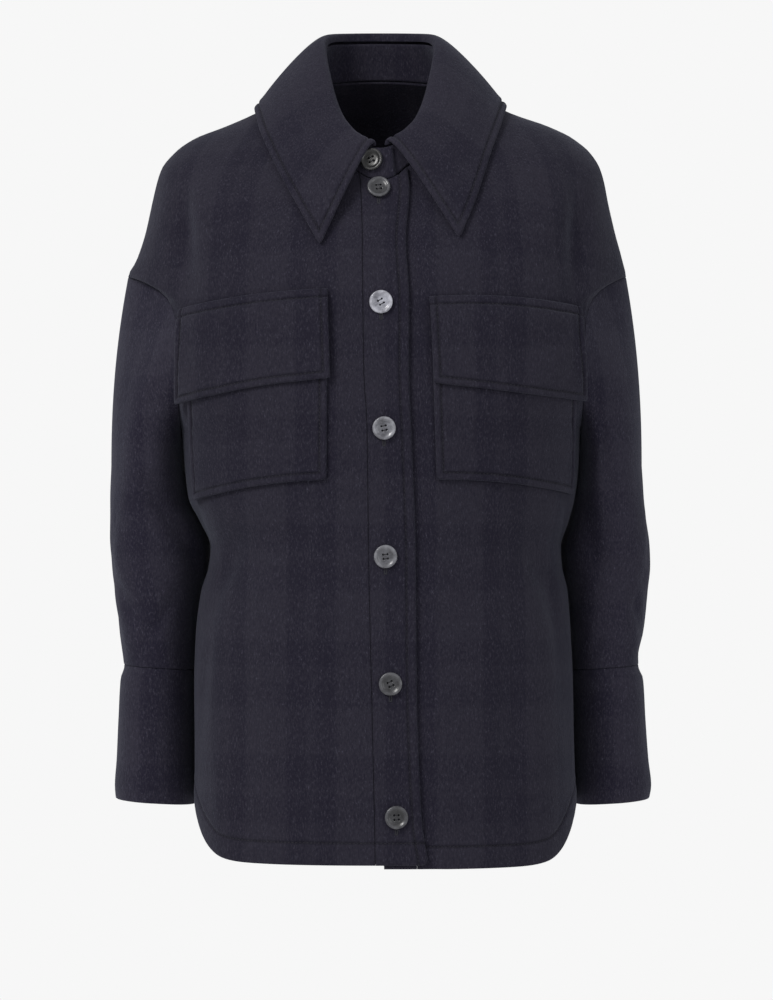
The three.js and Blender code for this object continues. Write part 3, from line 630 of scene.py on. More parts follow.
def lineAt(side, offset, distance, points, normals, keep):
    # the line on a grid that runs at that distance from one side
    distance = inwardFrom(side, distance)
    after = np.argmax(distance >= offset, axis=1)
    after = np.maximum(after, 1)[:, None]
    before = after - 1
    d0 = np.take_along_axis(distance, before, 1)
    d1 = np.take_along_axis(distance, after, 1)
    t = np.clip((offset - d0) / np.maximum(d1 - d0, 1e-6), 0, 1)[..., None]
    result = []
    for grid in (points, normals):
        grid = inwardFrom(side, grid)
        a = np.take_along_axis(grid, before[..., None], 1)
        b = np.take_along_axis(grid, after[..., None], 1)
        result.append(mix(a, b, t)[:, 0])
    kept = np.take_along_axis(inwardFrom(side, keep), after, 1)[:, 0]
    return result[0][kept], unit(result[1][kept])


stitchLook = {"pitch": 3.5, "length": 2.7, "width": 0.62, "height": 0.34, "slant": 0.12}


def sewStitches(name, stitchLines):
    # one small spindle of thread for each stitch along the lines
    sew = stitchLook
    ends = np.array([[-0.5, 0, -0.6], [0.5, 0, -0.6]])
    ring = np.array([[0, 1, 0], [0, 0, 1], [0, -1, 0], [0, 0, -1]])
    shape = np.concatenate([ends[:1], ring * 0.5 + (-0.25, 0, 0), ring * 0.5 + (0.25, 0, 0), ends[1:]])
    around = np.arange(4)
    after = (around + 1) % 4
    faces = np.concatenate([
        np.stack([0 * around, 1 + after, 1 + around, 1 + around], -1),
        np.stack([1 + around, 1 + after, 5 + after, 5 + around], -1),
        np.stack([5 + around, 5 + after, 9 + 0 * around, 9 + 0 * around], -1),
    ])
    places, normals, tangents = [], [], []
    for points, lineNormals in stitchLines:
        if len(points) < 3:
            continue
        far = lengthAlong(points)
        count = int(far[-1] / sew["pitch"])
        at = (np.arange(count) + 0.5) * far[-1] / max(count, 1)
        places.append(pointsAt(at, far, points))
        tangents.append(unit(pointsAt(at + 1, far, points) - pointsAt(at - 1, far, points)))
        normals.append(unit(pointsAt(at, far, lineNormals)))
    places, normals, tangents = (np.concatenate(part) for part in (places, normals, tangents))
    beside = np.cross(normals, tangents)
    lean = sew["slant"] * (1 + 0.4 * rng.standard_normal(len(places)))[:, None]
    along = unit(tangents + beside * lean)
    beside = np.cross(normals, along)
    size = 1 + 0.08 * rng.standard_normal((len(places), 1, 1))
    vertices = (
        places[:, None] + size * along[:, None] * shape[None, :, :1] * sew["length"]
        + beside[:, None] * shape[None, :, 1:2] * sew["width"]
        + normals[:, None] * shape[None, :, 2:] * sew["height"]
    )
    everyFace = (faces[None] + 10 * np.arange(len(places))[:, None, None]).reshape(-1, 4)
    tidy = [tuple(dict.fromkeys(face)) for face in everyFace.tolist()]
    return addMesh(name, vertices.reshape(-1, 3), tidy, thread)


# How a side of a panel ends: sewn to another, hidden, or turned in, also with stitches
seamEdge = {"kind": "seam"}
rawEdge = {"kind": "raw"}
turnedEdge = {"kind": "turned"}
allSides = ("left", "right", "top", "bottom")


def stitchedEdge(distance, **more):
    return {"kind": "turned", "stitch": distance, **more}


edgeLook = {
    # stitches: groove, its painted shade, the puff between it and the edge, the swell and the pucker
    # beyond it
    "groove": 1.0, "grooveWidth": 1.15, "paintedGrooveShade": 0.75, "puff": 0.75, "swell": 0.4,
    "swellFrom": 3.2, "swellWidth": 2.2, "pucker": 0.26, "puckerFade": 5, "turnShare": 0.94,
    "innerShare": 0.3,
    # plain seams, and the painted shade beside them
    "seamRound": 0.3, "paintedSeamShade": 0.45, "paintedShadeWidth": 0.9, "seamSwell": 0.06, "seamSwellFrom": 3,
    "seamSwellWidth": 1.8,
}


def sewPanel(name, node, points, uv, edges, thickness, material, out=1, closed=False, corners=(),
             inner=None, radius=5, label=None):
    # a cloth wall with turned edges, stitched grooves, rounded corners and its stitches. edges gives
    # for each side its kind and the distance of its stitches
    look = edgeLook
    normals = out * gridNormals(points, closed)
    rim = {"left": points[:, 0], "right": points[:, -1], "top": points[0], "bottom": points[-1]}
    if closed:
        rim = {side: np.concatenate([rim[side], rim[side][:1]]) for side in ("top", "bottom")}
    away = {side: distanceTo(points, rim[side]) for side in edges}
    relief = np.zeros(points.shape[:-1])
    groove = np.zeros(points.shape[:-1])
    turnedIn = np.zeros(points.shape[:-1])
    seamIn = np.zeros(points.shape[:-1])
    keep = np.ones(points.shape[:-1], bool)
    groups = {}
    waves = ripple(points)
    for side, edge in edges.items():
        distance = away[side]
        bend = thickness / 2 if edge["kind"] == "turned" else look["seamRound"]
        near = bend - np.minimum(distance, bend)
        drop = bend - np.sqrt(np.maximum(bend ** 2 - near ** 2, 0))
        if edge["kind"] == "turned":
            turnedIn = np.maximum(turnedIn, look["turnShare"] * drop)
        elif edge["kind"] == "seam":
            seamIn = np.maximum(seamIn, drop)
            dark = np.exp(-(distance / look["paintedShadeWidth"]) ** 2)
            groove = np.maximum(groove, look["paintedSeamShade"] * dark)
            beyond = (distance - look["seamSwellFrom"]) / look["seamSwellWidth"]
            relief += look["seamSwell"] * np.exp(-beyond ** 2)
        if "stitch" in edge:
            key = edge["stitch"]
            groups[key] = np.minimum(groups.get(key, 1e9), distance)
            if not edge.get("through"):
                keep &= distance >= key - 0.35
    for stitch, distance in groups.items():
        inside = np.clip(distance / stitch, 0, 1)
        cut = np.exp(-((distance - stitch) / look["grooveWidth"]) ** 2)
        relief += look["puff"] * np.sin(pi * inside) ** 0.7 * (1 + 0.3 * waves)
        relief -= look["groove"] * cut * (1 + 0.25 * waves)
        beyond = (distance - stitch - look["swellFrom"]) / look["swellWidth"]
        relief += look["swell"] * np.exp(-beyond ** 2)
        relief -= look["pucker"] * waves * np.exp(-np.abs(distance - stitch) / look["puckerFade"])
        groove = np.maximum(groove, look["paintedGrooveShade"] * cut)
    if corners:
        points = points.copy()
        across = unit(np.gradient(points, axis=1))
        down = unit(np.gradient(points, axis=0))
        for vertical, level in corners:
            a = away[vertical]
            b = away[level]
            w = np.clip(radius - a, 0, None)
            h = np.clip(radius - b, 0, None)
            long = np.maximum(w, h)
            share = np.where((w > 0) & (h > 0), 1 - long / np.maximum(np.hypot(w, h), 1e-9), 0)
            inX = across * (1 if vertical == "left" else -1)
            inY = down * (1 if level == "top" else -1)
            points += (w * share)[..., None] * inX + (h * share)[..., None] * inY
    outer = points + normals * (relief - turnedIn - seamIn)[..., None]
    if inner is None:
        inner = points - normals * thickness
    inner = inner + normals * (turnedIn + np.minimum(look["innerShare"] * relief, 0))[..., None]
    rows, columns = points.shape[:2]
    count = rows * columns
    vertices = np.concatenate([outer.reshape(-1, 3), inner.reshape(-1, 3)])
    faces = wallFaces(rows, columns, closed, count)
    corner = wallFaces(rows, columns, closed, 0)
    corner = corner if closed else faces % count
    a, b, c = (vertices[faces[:, k]] for k in (0, 1, 2))
    if np.einsum("ij,ij->", a, np.cross(b, c)) < 0:
        faces = faces[:, ::-1]
        corner = corner[:, ::-1]
    flatUv = uv.reshape(-1, 2)[corner.ravel()]
    # painted shade at grooves and seams, stored as the groove attribute
    shade = np.concatenate([groove.ravel(), np.zeros(count)])
    addMesh(label or name, vertices, faces, material, [node], flatUv, shade)
    stitchLines = []
    wallNormals = out * gridNormals(outer, closed)
    for side, edge in edges.items():
        if "stitch" in edge:
            allowed = keep | (away[side] < edge["stitch"] - 0.4) | bool(edge.get("through"))
            stitchLines.append(lineAt(side, edge["stitch"], away[side], outer, wallNormals, allowed))
    if stitchLines:
        sewStitches(name + "Stitches", stitchLines)


def lineUp(total, start, end, step):
    # places along a length: close together at both ends, as start and end say, and even between
    total = np.atleast_1d(np.asarray(total, float))[:, None]
    first = np.broadcast_to(np.array(start, float), (len(total), len(start)))
    last = total - np.array(end, float)[::-1]
    count = int((total.max() - start[-1] - end[-1]) / step)
    between = np.linspace(0, 1, count + 2)[1:-1]
    return np.concatenate([first, mix(first[:, -1:], last[:, :1], between), last], 1)


def resample(face, level, start, end, step):
    # columns of every row at even lengths along it, closer at its ends
    coarse = np.linspace(0, 1, 161)
    points = face(coarse[None], level[:, None])
    far = lengthAlong(points, 1)
    wanted = lineUp(far[:, -1], start, end, step)
    u = np.stack([np.interp(w, f, coarse) for w, f in zip(wanted, far)])
    return face(u, level[:, None]), wanted


seamSteps = [0, 0.35, 0.8, 1.5, 2.6, 4.2, 6.5]


def edgeSteps(stitch):
    # columns beside a turned edge: close at its rounding and at its stitches
    return [0, 0.18, 0.5, 1, 1.7, 0.45 * stitch, 0.7 * stitch, stitch - 1.5, stitch - 0.8, stitch,
            stitch + 0.8, stitch + 1.6, stitch + 2.8, stitch + 4.4, stitch + 7]


shoulderSlope = {"rise": 0.45, "depth": 150, "low": -210, "high": -90}


def grain(points, across, lift=0.0):
    # place in the cut cloth: across as given, down by height, longer where the shoulder slopes
    x, y, z = np.moveaxis(points, -1, 0)
    slope = shoulderSlope["rise"] * np.maximum(0, shoulderSlope["depth"] - np.abs(y))
    slope = slope * ramp(shoulderSlope["low"], shoulderSlope["high"], z)
    return np.stack([across, -z - slope + lift], -1)


# Rows from the neckline to the hem, close together at both, and at the ends of the armhole
hemSteps = [
    0, 0.2, 0.55, 1.1, 2, 3.5, 6, 9, 12, 14.5, 16.5, 18, 19.2, 20.2, 21.3, 22.6, 24.2, 26, 28, 30,
    32, 34, 37,
]
fullLength = body["neckLevel"] - body["hemLevel"]
levels = body["neckLevel"] - lineUp(fullLength, [0, 0.5, 1.5, 4], hemSteps, 4.6)[0]
for mark in (body["shoulderEndLevel"], body["armpitLevel"]):
    levels[np.argmin(np.abs(levels - mark))] = mark
hemStitch = 20


def frontRightFace(u, level):
    start = angleAtX(lines("seam", level) - body["sewnGap"] / 2, level)
    end = -ringAt(level, -1, True)[5]
    return bodyPoint(mix(start, end, u), level)


def frontLeftFace(u, level):
    # the first two of twelve columns are the strip under the band and the slope beside it
    column = u * 12
    low = lines("edge", level) + body["besideEdge"]
    high = low + body["sinkWidth"]
    slope = ramp(1, 2, column)
    first = lines("button", level) + body["buttonSide"]
    x = np.where(column < 1, mix(first, low, column), mix(low, high, column - 1))
    end = ringAt(level, 1, True)[5]
    past = mix(angleAtX(high, level), end, (column - 2) / 10)
    angle = np.where(column < 2, angleAtX(np.minimum(x, high), level), past)
    points = onBody(angle, level, body["underBand"] * (1 - slope))
    points[..., 2] -= hemDrop(level) * (1 - ramp(0.6, 1, u))
    return points


def backFace(u, level):
    fromMiddle = 2 * u - 1
    side = np.where(fromMiddle < 0, -1, 1)
    turn = np.abs(fromMiddle) * ringAt(level, side, False)[5]
    return bodyPoint(side * (pi - turn), level)


panels = {
    # node, face, side, columns at the start, which way is out
    "frontRight": ("front_right", frontRightFace, -1, seamSteps, 1),
    "frontLeft": ("front_left", frontLeftFace, 1, [0, 1, 3, 6], -1),
    "backPanel": ("back", backFace, 0, seamSteps, 1),
}
for name, (node, face, side, start, out) in panels.items():
    points, far = resample(face, levels, start, seamSteps, 4.8)
    across = side * (np.abs(points[:, :1, 0]) + far) if side else far - far[:, -1:] / 2
    edges = {
        "left": rawEdge if name == "frontLeft" else seamEdge, "right": seamEdge, "top": rawEdge,
        "bottom": stitchedEdge(hemStitch),
    }
    sewPanel(name, node, points, grain(points, across), edges, body["wool"], bodyWool, out)
print("fronts and back made")

# Front bands

bands = {
    # lift above the body, thickness, first line and last line, share of the left hem's drop
    "bandRight": ("band_right", body["bandLift"], body["bandWool"], 0),
    "bandLeft": ("band_left", body["underBand"], body["wool"], 1),
}
bandStitch = 8.6
allowance = {"from": -9.9, "to": 1.6, "lift": -2.95, "wool": 1.2, "columns": 5}


def bandFace(name, lift, drop):
    def face(u, level):
        if name == "bandRight":
            first, last = lines("seam", level) + body["sewnGap"], lines("edge", level)
        else:
            first = lines("button", level) - body["hiddenSide"]
            last = lines("button", level) + body["buttonSide"] - body["seamGap"]
        points = onBody(angleAtX(mix(first, last, u), level), level, lift)
        points[..., 2] -= drop * hemDrop(level)
        return points
    return face


def seamAllowance(u, level):
    # the cloth turned in behind the seam between the right front and its band
    x = lines("seam", level) + mix(allowance["from"], allowance["to"], u)
    return onBody(angleAtX(x, level), level, allowance["lift"])


for name, (node, lift, thickness, drop) in bands.items():
    isTop = name == "bandRight"
    face = bandFace(name, lift, drop)
    end = edgeSteps(bandStitch) if isTop else [0, 0.5, 2]
    points, far = resample(face, levels, seamSteps[:5] if isTop else [0, 0.5, 2], end, 2.6)
    edges = {
        "left": seamEdge if isTop else rawEdge, "top": rawEdge,
        "right": stitchedEdge(bandStitch, through=True) if isTop else rawEdge,
        "bottom": stitchedEdge(hemStitch),
    }
    sewPanel(
        name, node, points, grain(points, points[..., 0]), edges, thickness, bodyWool, -1,
        corners=[("right", "bottom")] if isTop else (), radius=7,
    )
points = seamAllowance(np.linspace(0, 1, allowance["columns"])[None], levels[1:-3, None])
sewPanel(
    "seamAllowance", "band_right", points, grain(points, points[..., 0]),
    dict.fromkeys(allSides, rawEdge), allowance["wool"], bodyWool, -1,
)
print("bands made")

# Sleeves and cuffs

sleeve = {
    "topLevel": -330, "cuffSeam": -514, "cuffEnd": -640, "square": 2.25, "innerDrop": 5,
    "capShare": 0.34, "swing": 2.2, "foldScale": 0.95, "cuffWool": 3.1, "cuffGap": 0.18,
    "seamOut": 0.2, "seamDown": 0.15, "foldFade": 12,
    # angle round the sleeve, height, half width, half length, lean, depth
    "folds": {
        -1: [
            (128, -395, 16, 42, 0.5, 5), (60, -300, 20, 60, -0.5, 4), (55, -455, 15, 34, 0.9, 4),
            (250, -420, 22, 40, -0.6, 5), (300, -340, 22, 60, 0.4, 4),
            (95, -350, 9, 40, 0.5, 1.7), (30, -400, 10, 50, -0.4, 1.8), (150, -300, 10, 30, 0.6, 1.6),
            (100, -470, 9, 26, -0.8, 1.8), (20, -480, 9, 30, 0.5, 1.4), (75, -405, 8, 26, 1.1, 1.5),
            (200, -440, 10, 36, 0.8, 2), (330, -430, 10, 44, 0.5, 1.8), (275, -470, 9, 28, -0.9, 1.8),
        ],
        1: [
            (120, -390, 16, 44, -0.4, 4.5), (62, -310, 20, 64, 0.5, 4), (50, -462, 14, 36, -0.8, 4),
            (244, -430, 22, 42, 0.6, 5), (305, -330, 22, 64, -0.4, 4),
            (92, -340, 9, 44, -0.5, 1.8), (28, -410, 10, 46, 0.45, 1.7), (148, -310, 10, 32, -0.6, 1.6),
            (96, -476, 9, 24, 0.8, 1.9), (18, -470, 9, 34, -0.5, 1.5), (72, -410, 8, 28, -1.1, 1.6),
            (206, -450, 10, 34, -0.8, 2), (334, -424, 10, 46, -0.5, 1.8), (270, -476, 9, 26, 0.9, 1.7),
        ],
    },
    "sections": {
        -1: smoothTable("z outer inner depth middle lean", [
            [-330, 251, 182.5, 72, 18, 2], [-361, 252.5, 177.4, 69, 24, -1],
            [-381, 252.3, 167, 67.5, 26, -3], [-404, 252, 158.4, 66, 28, -5],
            [-422, 251, 159.7, 64, 30, -5], [-445, 248.5, 165.8, 62, 31, -4],
            [-485, 243.5, 170.8, 58, 32, -3], [-512, 239.5, 171.6, 55, 33, -3],
            [-516, 239, 171.6, 55, 33, -3], [-528, 242.5, 171.7, 56, 34, -3],
            [-566, 244.6, 171.5, 55, 34, -3], [-603, 246.5, 171.6, 54, 34, -2],
            [-628, 248.4, 171.9, 53, 34, -1], [-640, 247.5, 171.8, 52, 34, -1],
        ]),
        1: smoothTable("z outer inner depth middle lean", [
            [-330, 244.5, 185.2, 72, 18, 4], [-361, 247.3, 180.4, 69, 24, 1],
            [-381, 249.5, 175.3, 67.5, 26, -2], [-404, 251.5, 168.7, 66, 28, -4],
            [-422, 252, 169.4, 64, 30, -4], [-445, 250, 173.8, 62, 31, -3],
            [-485, 247, 177, 58, 32, -2], [-512, 241.5, 178.1, 55, 33, -2],
            [-516, 241.5, 178.1, 55, 33, -2], [-528, 246, 178.5, 56, 34, -2],
            [-566, 248.3, 179.3, 55, 34, -2], [-603, 251, 180.3, 54, 34, -2],
            [-628, 253.9, 181.5, 53, 34, -1], [-640, 252, 181.7, 52, 34, -1],
        ]),
    },
}


def power(x, exponent):
    return np.sign(x) * np.abs(x) ** exponent


def sleeveRing(side, turn, z):
    # an even ring of sleeve or cuff; turn runs as round the armhole
    section = sleeve["sections"][side]
    folds = foldDepth(sleeve["folds"][side], np.degrees(turn) % 360, z, sleeve["foldScale"])
    squeeze = folds * ramp(sleeve["cuffSeam"], sleeve["cuffSeam"] + sleeve["foldFade"], z)
    cosine = power(np.cos(turn), 2 / sleeve["square"])
    sine = power(np.sin(turn), 2 / sleeve["square"])
    outer, inner = section("outer", z), section("inner", z)
    half = (outer - inner) / 2 - squeeze * np.abs(np.cos(turn))
    depth = section("depth", z) - squeeze * np.abs(np.sin(turn))
    drop = sleeve["innerDrop"] * ramp(sleeve["topLevel"], sleeve["cuffSeam"], z) * (1 - np.cos(turn)) / 2
    x = side * ((outer + inner) / 2 + half * cosine - section("lean", z) * sine)
    return stack(x, section("middle", z) - depth * sine, z - drop)


def sleeveFace(side, turn, v):
    # from the armhole out to the first even ring, then down
    cap = sleeve["capShare"]
    below = mix(sleeve["topLevel"], sleeve["cuffSeam"], np.maximum(v - cap, 0) / (1 - cap))
    t = np.clip(v / cap, 0, 1)
    start = armhole(side, turn) + (side * sleeve["seamOut"], 0, -sleeve["seamDown"])
    ring = sleeveRing(side, turn, below)
    swung = 1 - (1 - t) ** sleeve["swing"]
    share = stack(swung, swung, t)
    return start + (ring - start) * share


def ringGrain(points, side, aside, lift):
    # place in the cut cloth round a tube, one column more than the tube has
    again = closeRing(points)
    return grain(again, lengthAlong(again, 1) * side + aside, lift)


ringColumns = 104
# where the check's lines start on sleeves and cuffs, round and down
sleeveGrain = (0, 31)
cuffGrain = (22, -16)
turns = 2 * pi * np.arange(ringColumns)[None] / ringColumns
sleeveRows = lineUp(1.0, np.array(seamSteps) / 340, np.array(seamSteps) / 280, 1 / 72)[0]
cuffLength = sleeve["cuffSeam"] - sleeve["cuffEnd"] - body["seamGap"]
cuffStart = [0, 0.2, 0.5, 1, 1.7, 2.8, 4.4, 7]
cuffRows = lineUp(cuffLength, cuffStart, [0, 0.18, 0.5, 1, 1.7, 3, 5.5, 8], 4.6)[0]
for label, side in (("Right", -1), ("Left", 1)):
    points = sleeveFace(side, turns, sleeveRows[:, None])
    sewPanel(
        "sleeve" + label, "sleeve_" + label.lower(), points, ringGrain(points, side, *sleeveGrain),
        {"top": seamEdge, "bottom": seamEdge}, body["wool"], sleeveWool, side, closed=True,
    )
    heights = sleeve["cuffSeam"] - sleeve["cuffGap"] - cuffRows
    points = sleeveRing(side, turns, heights[:, None])
    sewPanel(
        "cuff" + label, "cuff_" + label.lower(), points, ringGrain(points, side, *cuffGrain),
        {"top": turnedEdge, "bottom": turnedEdge}, sleeve["cuffWool"], sleeveWool, side,
        closed=True,
    )
print("sleeves and cuffs made")

# Collar stand and collar

collar = {
    "foldHalf": 53, "foldFront": 103, "foldBack": 61, "belowFold": 6.5, "frontBelowFold": 3.5,
    "throat": 0.9, "clearance": 0.45, "wall": 2.8, "leafBulge": 9, "foldGap": 2.3, "stitch": 6.4,
    "standStart": 12, "standEnd": -371, "standSlope": 0.7, "standBulge": 1.5, "foldInset": 0.1,
    "edgeGap": 1.6, "rightEnd": -30, "leftEndFrom": -325, "leftEndTo": -345, "standRadius": 65,
    "foldRadius": 88, "foldWidth": 20,
}
foldHeights = smoothTable("y z", [
    [-103, -38], [-95, -28], [-80, -14], [-63, 5], [-38, 34], [0, 62], [30, 72], [61, 76],
])
collarEdge = smoothTable("along fold x y z rise reach", [
    [0, -3.5, -53.7, -138, -133, 18, 11],
    [0.1, -22, -76, -120, -93, 22, 4],
    [0.18, -42, -97, -95, -52, 26, 1],
    [0.25, -66, -112, -52, -17, 26, 1],
    [0.31, -88, -114, -12, -4, 26, 1],
    [0.38, -116, -101, 32, 4, 26, 1],
    [0.44, -145, -67, 66, 12, 26, 1],
    [0.5, -180, 0, 84, 17, 26, 1],
    [0.56, -215, 67, 66, 12, 26, 1],
    [0.62, -244, 101, 32, 4, 26, 1],
    [0.69, -272, 114.5, -8, -3, 26, 1],
    [0.75, -294, 112, -48, -15, 26, 1],
    [0.82, -318, 101, -93, -45, 26, 1],
    [0.9, -338, 88, -119, -86, 25, 1],
    [1, -355, 72, -138, -125, 22, 3],
])


def standFace(turn, v, lift):
    foot = bodyPoint((turn + pi) % (2 * pi) - pi, body["neckLevel"])
    reach = np.where(np.cos(turn) > 0, collar["foldFront"], collar["foldBack"])
    y = -reach * np.cos(turn)
    lower = mix(collar["belowFold"], collar["frontBelowFold"], ramp(collar["throat"], 1, np.cos(turn)))
    top = stack(collar["foldHalf"] * np.sin(turn), y, foldHeights("z", y) - lower)
    outward = stack(np.sin(turn), -np.cos(turn), 0)
    foot = foot + outward * lift[..., None]
    foot[..., 2] += collar["clearance"] * (1 + collar["standSlope"] * ramp(-0.2, 1, np.cos(turn)))
    top = top + outward * lift[..., None]
    return mix(foot, top, v[..., None]) + outward * (collar["standBulge"] * np.sin(pi * v))[..., None]


def standLift(turn):
    # the right end lies on the band's height, the left one under it
    near = ramp(math.radians(collar["rightEnd"]), 0, turn)
    under = ramp(math.radians(collar["leftEndFrom"]), math.radians(collar["leftEndTo"]), turn)
    return body["bandLift"] * near + body["underBand"] * under


def nearestOnBody(target):
    # angle and level of the body nearest to each target, by ever shorter steps
    angle = np.arctan2(target[..., 0], -target[..., 1])
    level = np.minimum(body["neckLevel"], target[..., 2])
    least = np.linalg.norm(bodyPoint(angle, level) - target, axis=-1)
    reach = 0.3
    while reach > 1e-4:
        for turn, lower in ((reach, 0), (-reach, 0), (0, reach * 100), (0, -reach * 100)):
            triedAngle = angle + turn
            triedLevel = np.minimum(body["neckLevel"], level + lower)
            distance = np.linalg.norm(bodyPoint(triedAngle, triedLevel) - target, axis=-1)
            better = distance < least
            angle = np.where(better, triedAngle, angle)
            level = np.where(better, triedLevel, level)
            least = np.where(better, distance, least)
        reach *= 0.7
    return angle, level


def collarFace(u, v):
    # a cubic curve from the stand over the roll to the edge that rests on the body
    turn = np.radians(collarEdge("fold", u))
    outward = stack(np.sin(turn), -np.cos(turn), 0)
    zero = np.zeros_like(turn)
    foot = standFace(turn, zero, standLift(turn))
    top = standFace(turn, zero + 1, standLift(turn))
    start = top + outward * (collar["foldInset"] - body["wool"]) + unit(top - foot) * collar["foldGap"]
    target = stack(collarEdge("x", u), collarEdge("y", u), collarEdge("z", u))
    end = onBody(*nearestOnBody(target), zero + collar["wall"] + collar["edgeGap"])
    rise = start + outward * collarEdge("reach", u)[..., None]
    rise[..., 2] += collarEdge("rise", u)
    over = mix(start, end, 0.5) + outward * collar["leafBulge"] + (0, 0, collar["leafBulge"])
    start, rise, over, end = (part[None] for part in (start, rise, over, end))
    v = v[:, None, None]
    return (1 - v) ** 3 * start + 3 * v * (1 - v) ** 2 * rise + 3 * v * v * (1 - v) * over + v ** 3 * end


standTurns = np.radians(np.linspace(collar["standStart"], collar["standEnd"], 190))
standRows = np.array([0, 0.02, 0.06, 0.12, 0.25, 0.38, 0.5, 0.62, 0.75, 0.88, 0.94, 0.98, 1])
standGrid = np.broadcast_arrays(standTurns[None], standRows[:, None], standLift(standTurns)[None])
points = standFace(*standGrid)
standAcross = standTurns[None] * collar["standRadius"] + 0 * points[..., 0]
sewPanel(
    "collarStand", "collar_stand", points, grain(points, standAcross),
    dict.fromkeys(allSides, turnedEdge), body["wool"], collarWool, -1,
)

# columns closer at the front edges, and rows closer at the outer edge
coarse = np.linspace(0, 1, 400)
outline = collarFace(coarse, np.array([1.0]))[0]
far = lengthAlong(outline)
collarColumns = np.interp(lineUp(far[-1], edgeSteps(9), edgeSteps(9), 4.2)[0], far, coarse)
leafLength = 118
collarRows = lineUp(leafLength, [0, 0.3, 1, 2.5, 5], edgeSteps(collar["stitch"]), 3.0)[0] / leafLength
points = collarFace(collarColumns, collarRows)
downLength = lengthAlong(points)
foldPlace = np.radians(collarEdge("fold", collarColumns))[None] * collar["foldRadius"] + 0 * downLength
edges = dict.fromkeys(("left", "right", "bottom"), stitchedEdge(collar["stitch"]))
edges["top"] = rawEdge
collarGrain = np.stack([foldPlace, downLength + collar["foldWidth"]], -1)
sewPanel(
    "collar", "collar", points, collarGrain, edges, collar["wall"], collarWool,
    corners=[("left", "bottom"), ("right", "bottom")], radius=4.5, label="collarLeaf",
)
print("collar made")

# Breast pockets and flaps, laid on the fronts. Corners are x and z as seen from the front.

layGap = 1.3
layer = body["wool"] + layGap
pocketSewing = {"lift": (layer, layer), "stitch": 6.6, "topStitch": 0}
flapSewing = {"lift": (layer, 2 * layer), "stitch": 6.2, "topStitch": 8}
laid = {
    "pocketRight": {
        "node": "pocket_right", "topInner": (-46.5, -197), "topOuter": (-176, -212),
        "bottomInner": (-47.3, -343), "bottomOuter": (-167.8, -361), "sag": (-2, -4),
        **pocketSewing,
    },
    "pocketLeft": {
        "node": "pocket_left", "topInner": (46, -203), "topOuter": (178, -210),
        "bottomInner": (50.5, -343), "bottomOuter": (174, -355.5), "sag": (-2, -4),
        **pocketSewing,
    },
    "flapRight": {
        "node": "flap_right", "topInner": (-46.4, -171.7), "topOuter": (-181, -187),
        "bottomInner": (-43.7, -252), "bottomOuter": (-181.5, -272), "sag": (-3, -2),
        **flapSewing,
    },
    "flapLeft": {
        "node": "flap_left", "topInner": (44, -178.8), "topOuter": (181, -185),
        "bottomInner": (48, -256.3), "bottomOuter": (183, -269), "sag": (-4, 1),
        **flapSewing,
    },
}
flapTurn = 0.2


def laidPoints(piece, u, v, depth):
    # a point of a pocket or flap, laid out in x and z and lifted off the front
    place = []
    for k in (0, 1):
        top = mix(piece["topInner"][k], piece["topOuter"][k], u)
        bottom = mix(piece["bottomInner"][k], piece["bottomOuter"][k], u)
        place.append(mix(top, bottom, v))
    sag = 4 * u * (1 - u) * mix(*piece["sag"], v)
    lift = mix(*piece["lift"], ramp(0, flapTurn, v))
    angle, level = frontAt(place[0], place[1] - sag)
    return onBody(angle, level, lift - depth)


for name, piece in laid.items():
    isFlap = piece["topStitch"] > 0
    side = -1 if name.endswith("Right") else 1
    width, height = 132, 84 if isFlap else 148
    startRows = edgeSteps(piece["topStitch"]) if isFlap else [0, 0.5, 1.5, 4]
    v = lineUp(height, startRows, edgeSteps(piece["stitch"]), 3.6)[0][:, None] / height
    even = lineUp(width, edgeSteps(piece["stitch"]), edgeSteps(piece["stitch"]), 3.6)[0][None] / width
    # u is eased so that columns are even along the cloth, which turns away at the side
    coarseU = np.linspace(0, 1, 120)
    row = laidPoints(piece, coarseU, np.full(120, 0.5), 0)
    far = lengthAlong(row)
    u = np.interp(even * far[-1], far, coarseU)
    u, v = np.broadcast_arrays(u, v)
    points = laidPoints(piece, u, v, 0)
    inner = laidPoints(piece, u, v, body["wool"])
    edges = dict.fromkeys(("left", "right", "bottom"), stitchedEdge(piece["stitch"]))
    edges["top"] = stitchedEdge(piece["topStitch"]) if isFlap else rawEdge
    uv = np.stack([points[..., 0] + side * 9, -points[..., 2] + (12 if isFlap else -7)], -1)
    corners = [("left", "bottom"), ("right", "bottom")]
    if isFlap:
        corners += [("left", "top"), ("right", "top")]
    sewPanel(
        name, piece["node"], points, uv, edges, body["wool"], bodyWool, -side,
        corners=corners, inner=inner, radius=4 if isFlap else 6,
    )
print("pockets and flaps made")

# Buttons: turned discs with a raised rim, a dished face, four holes and thread in them

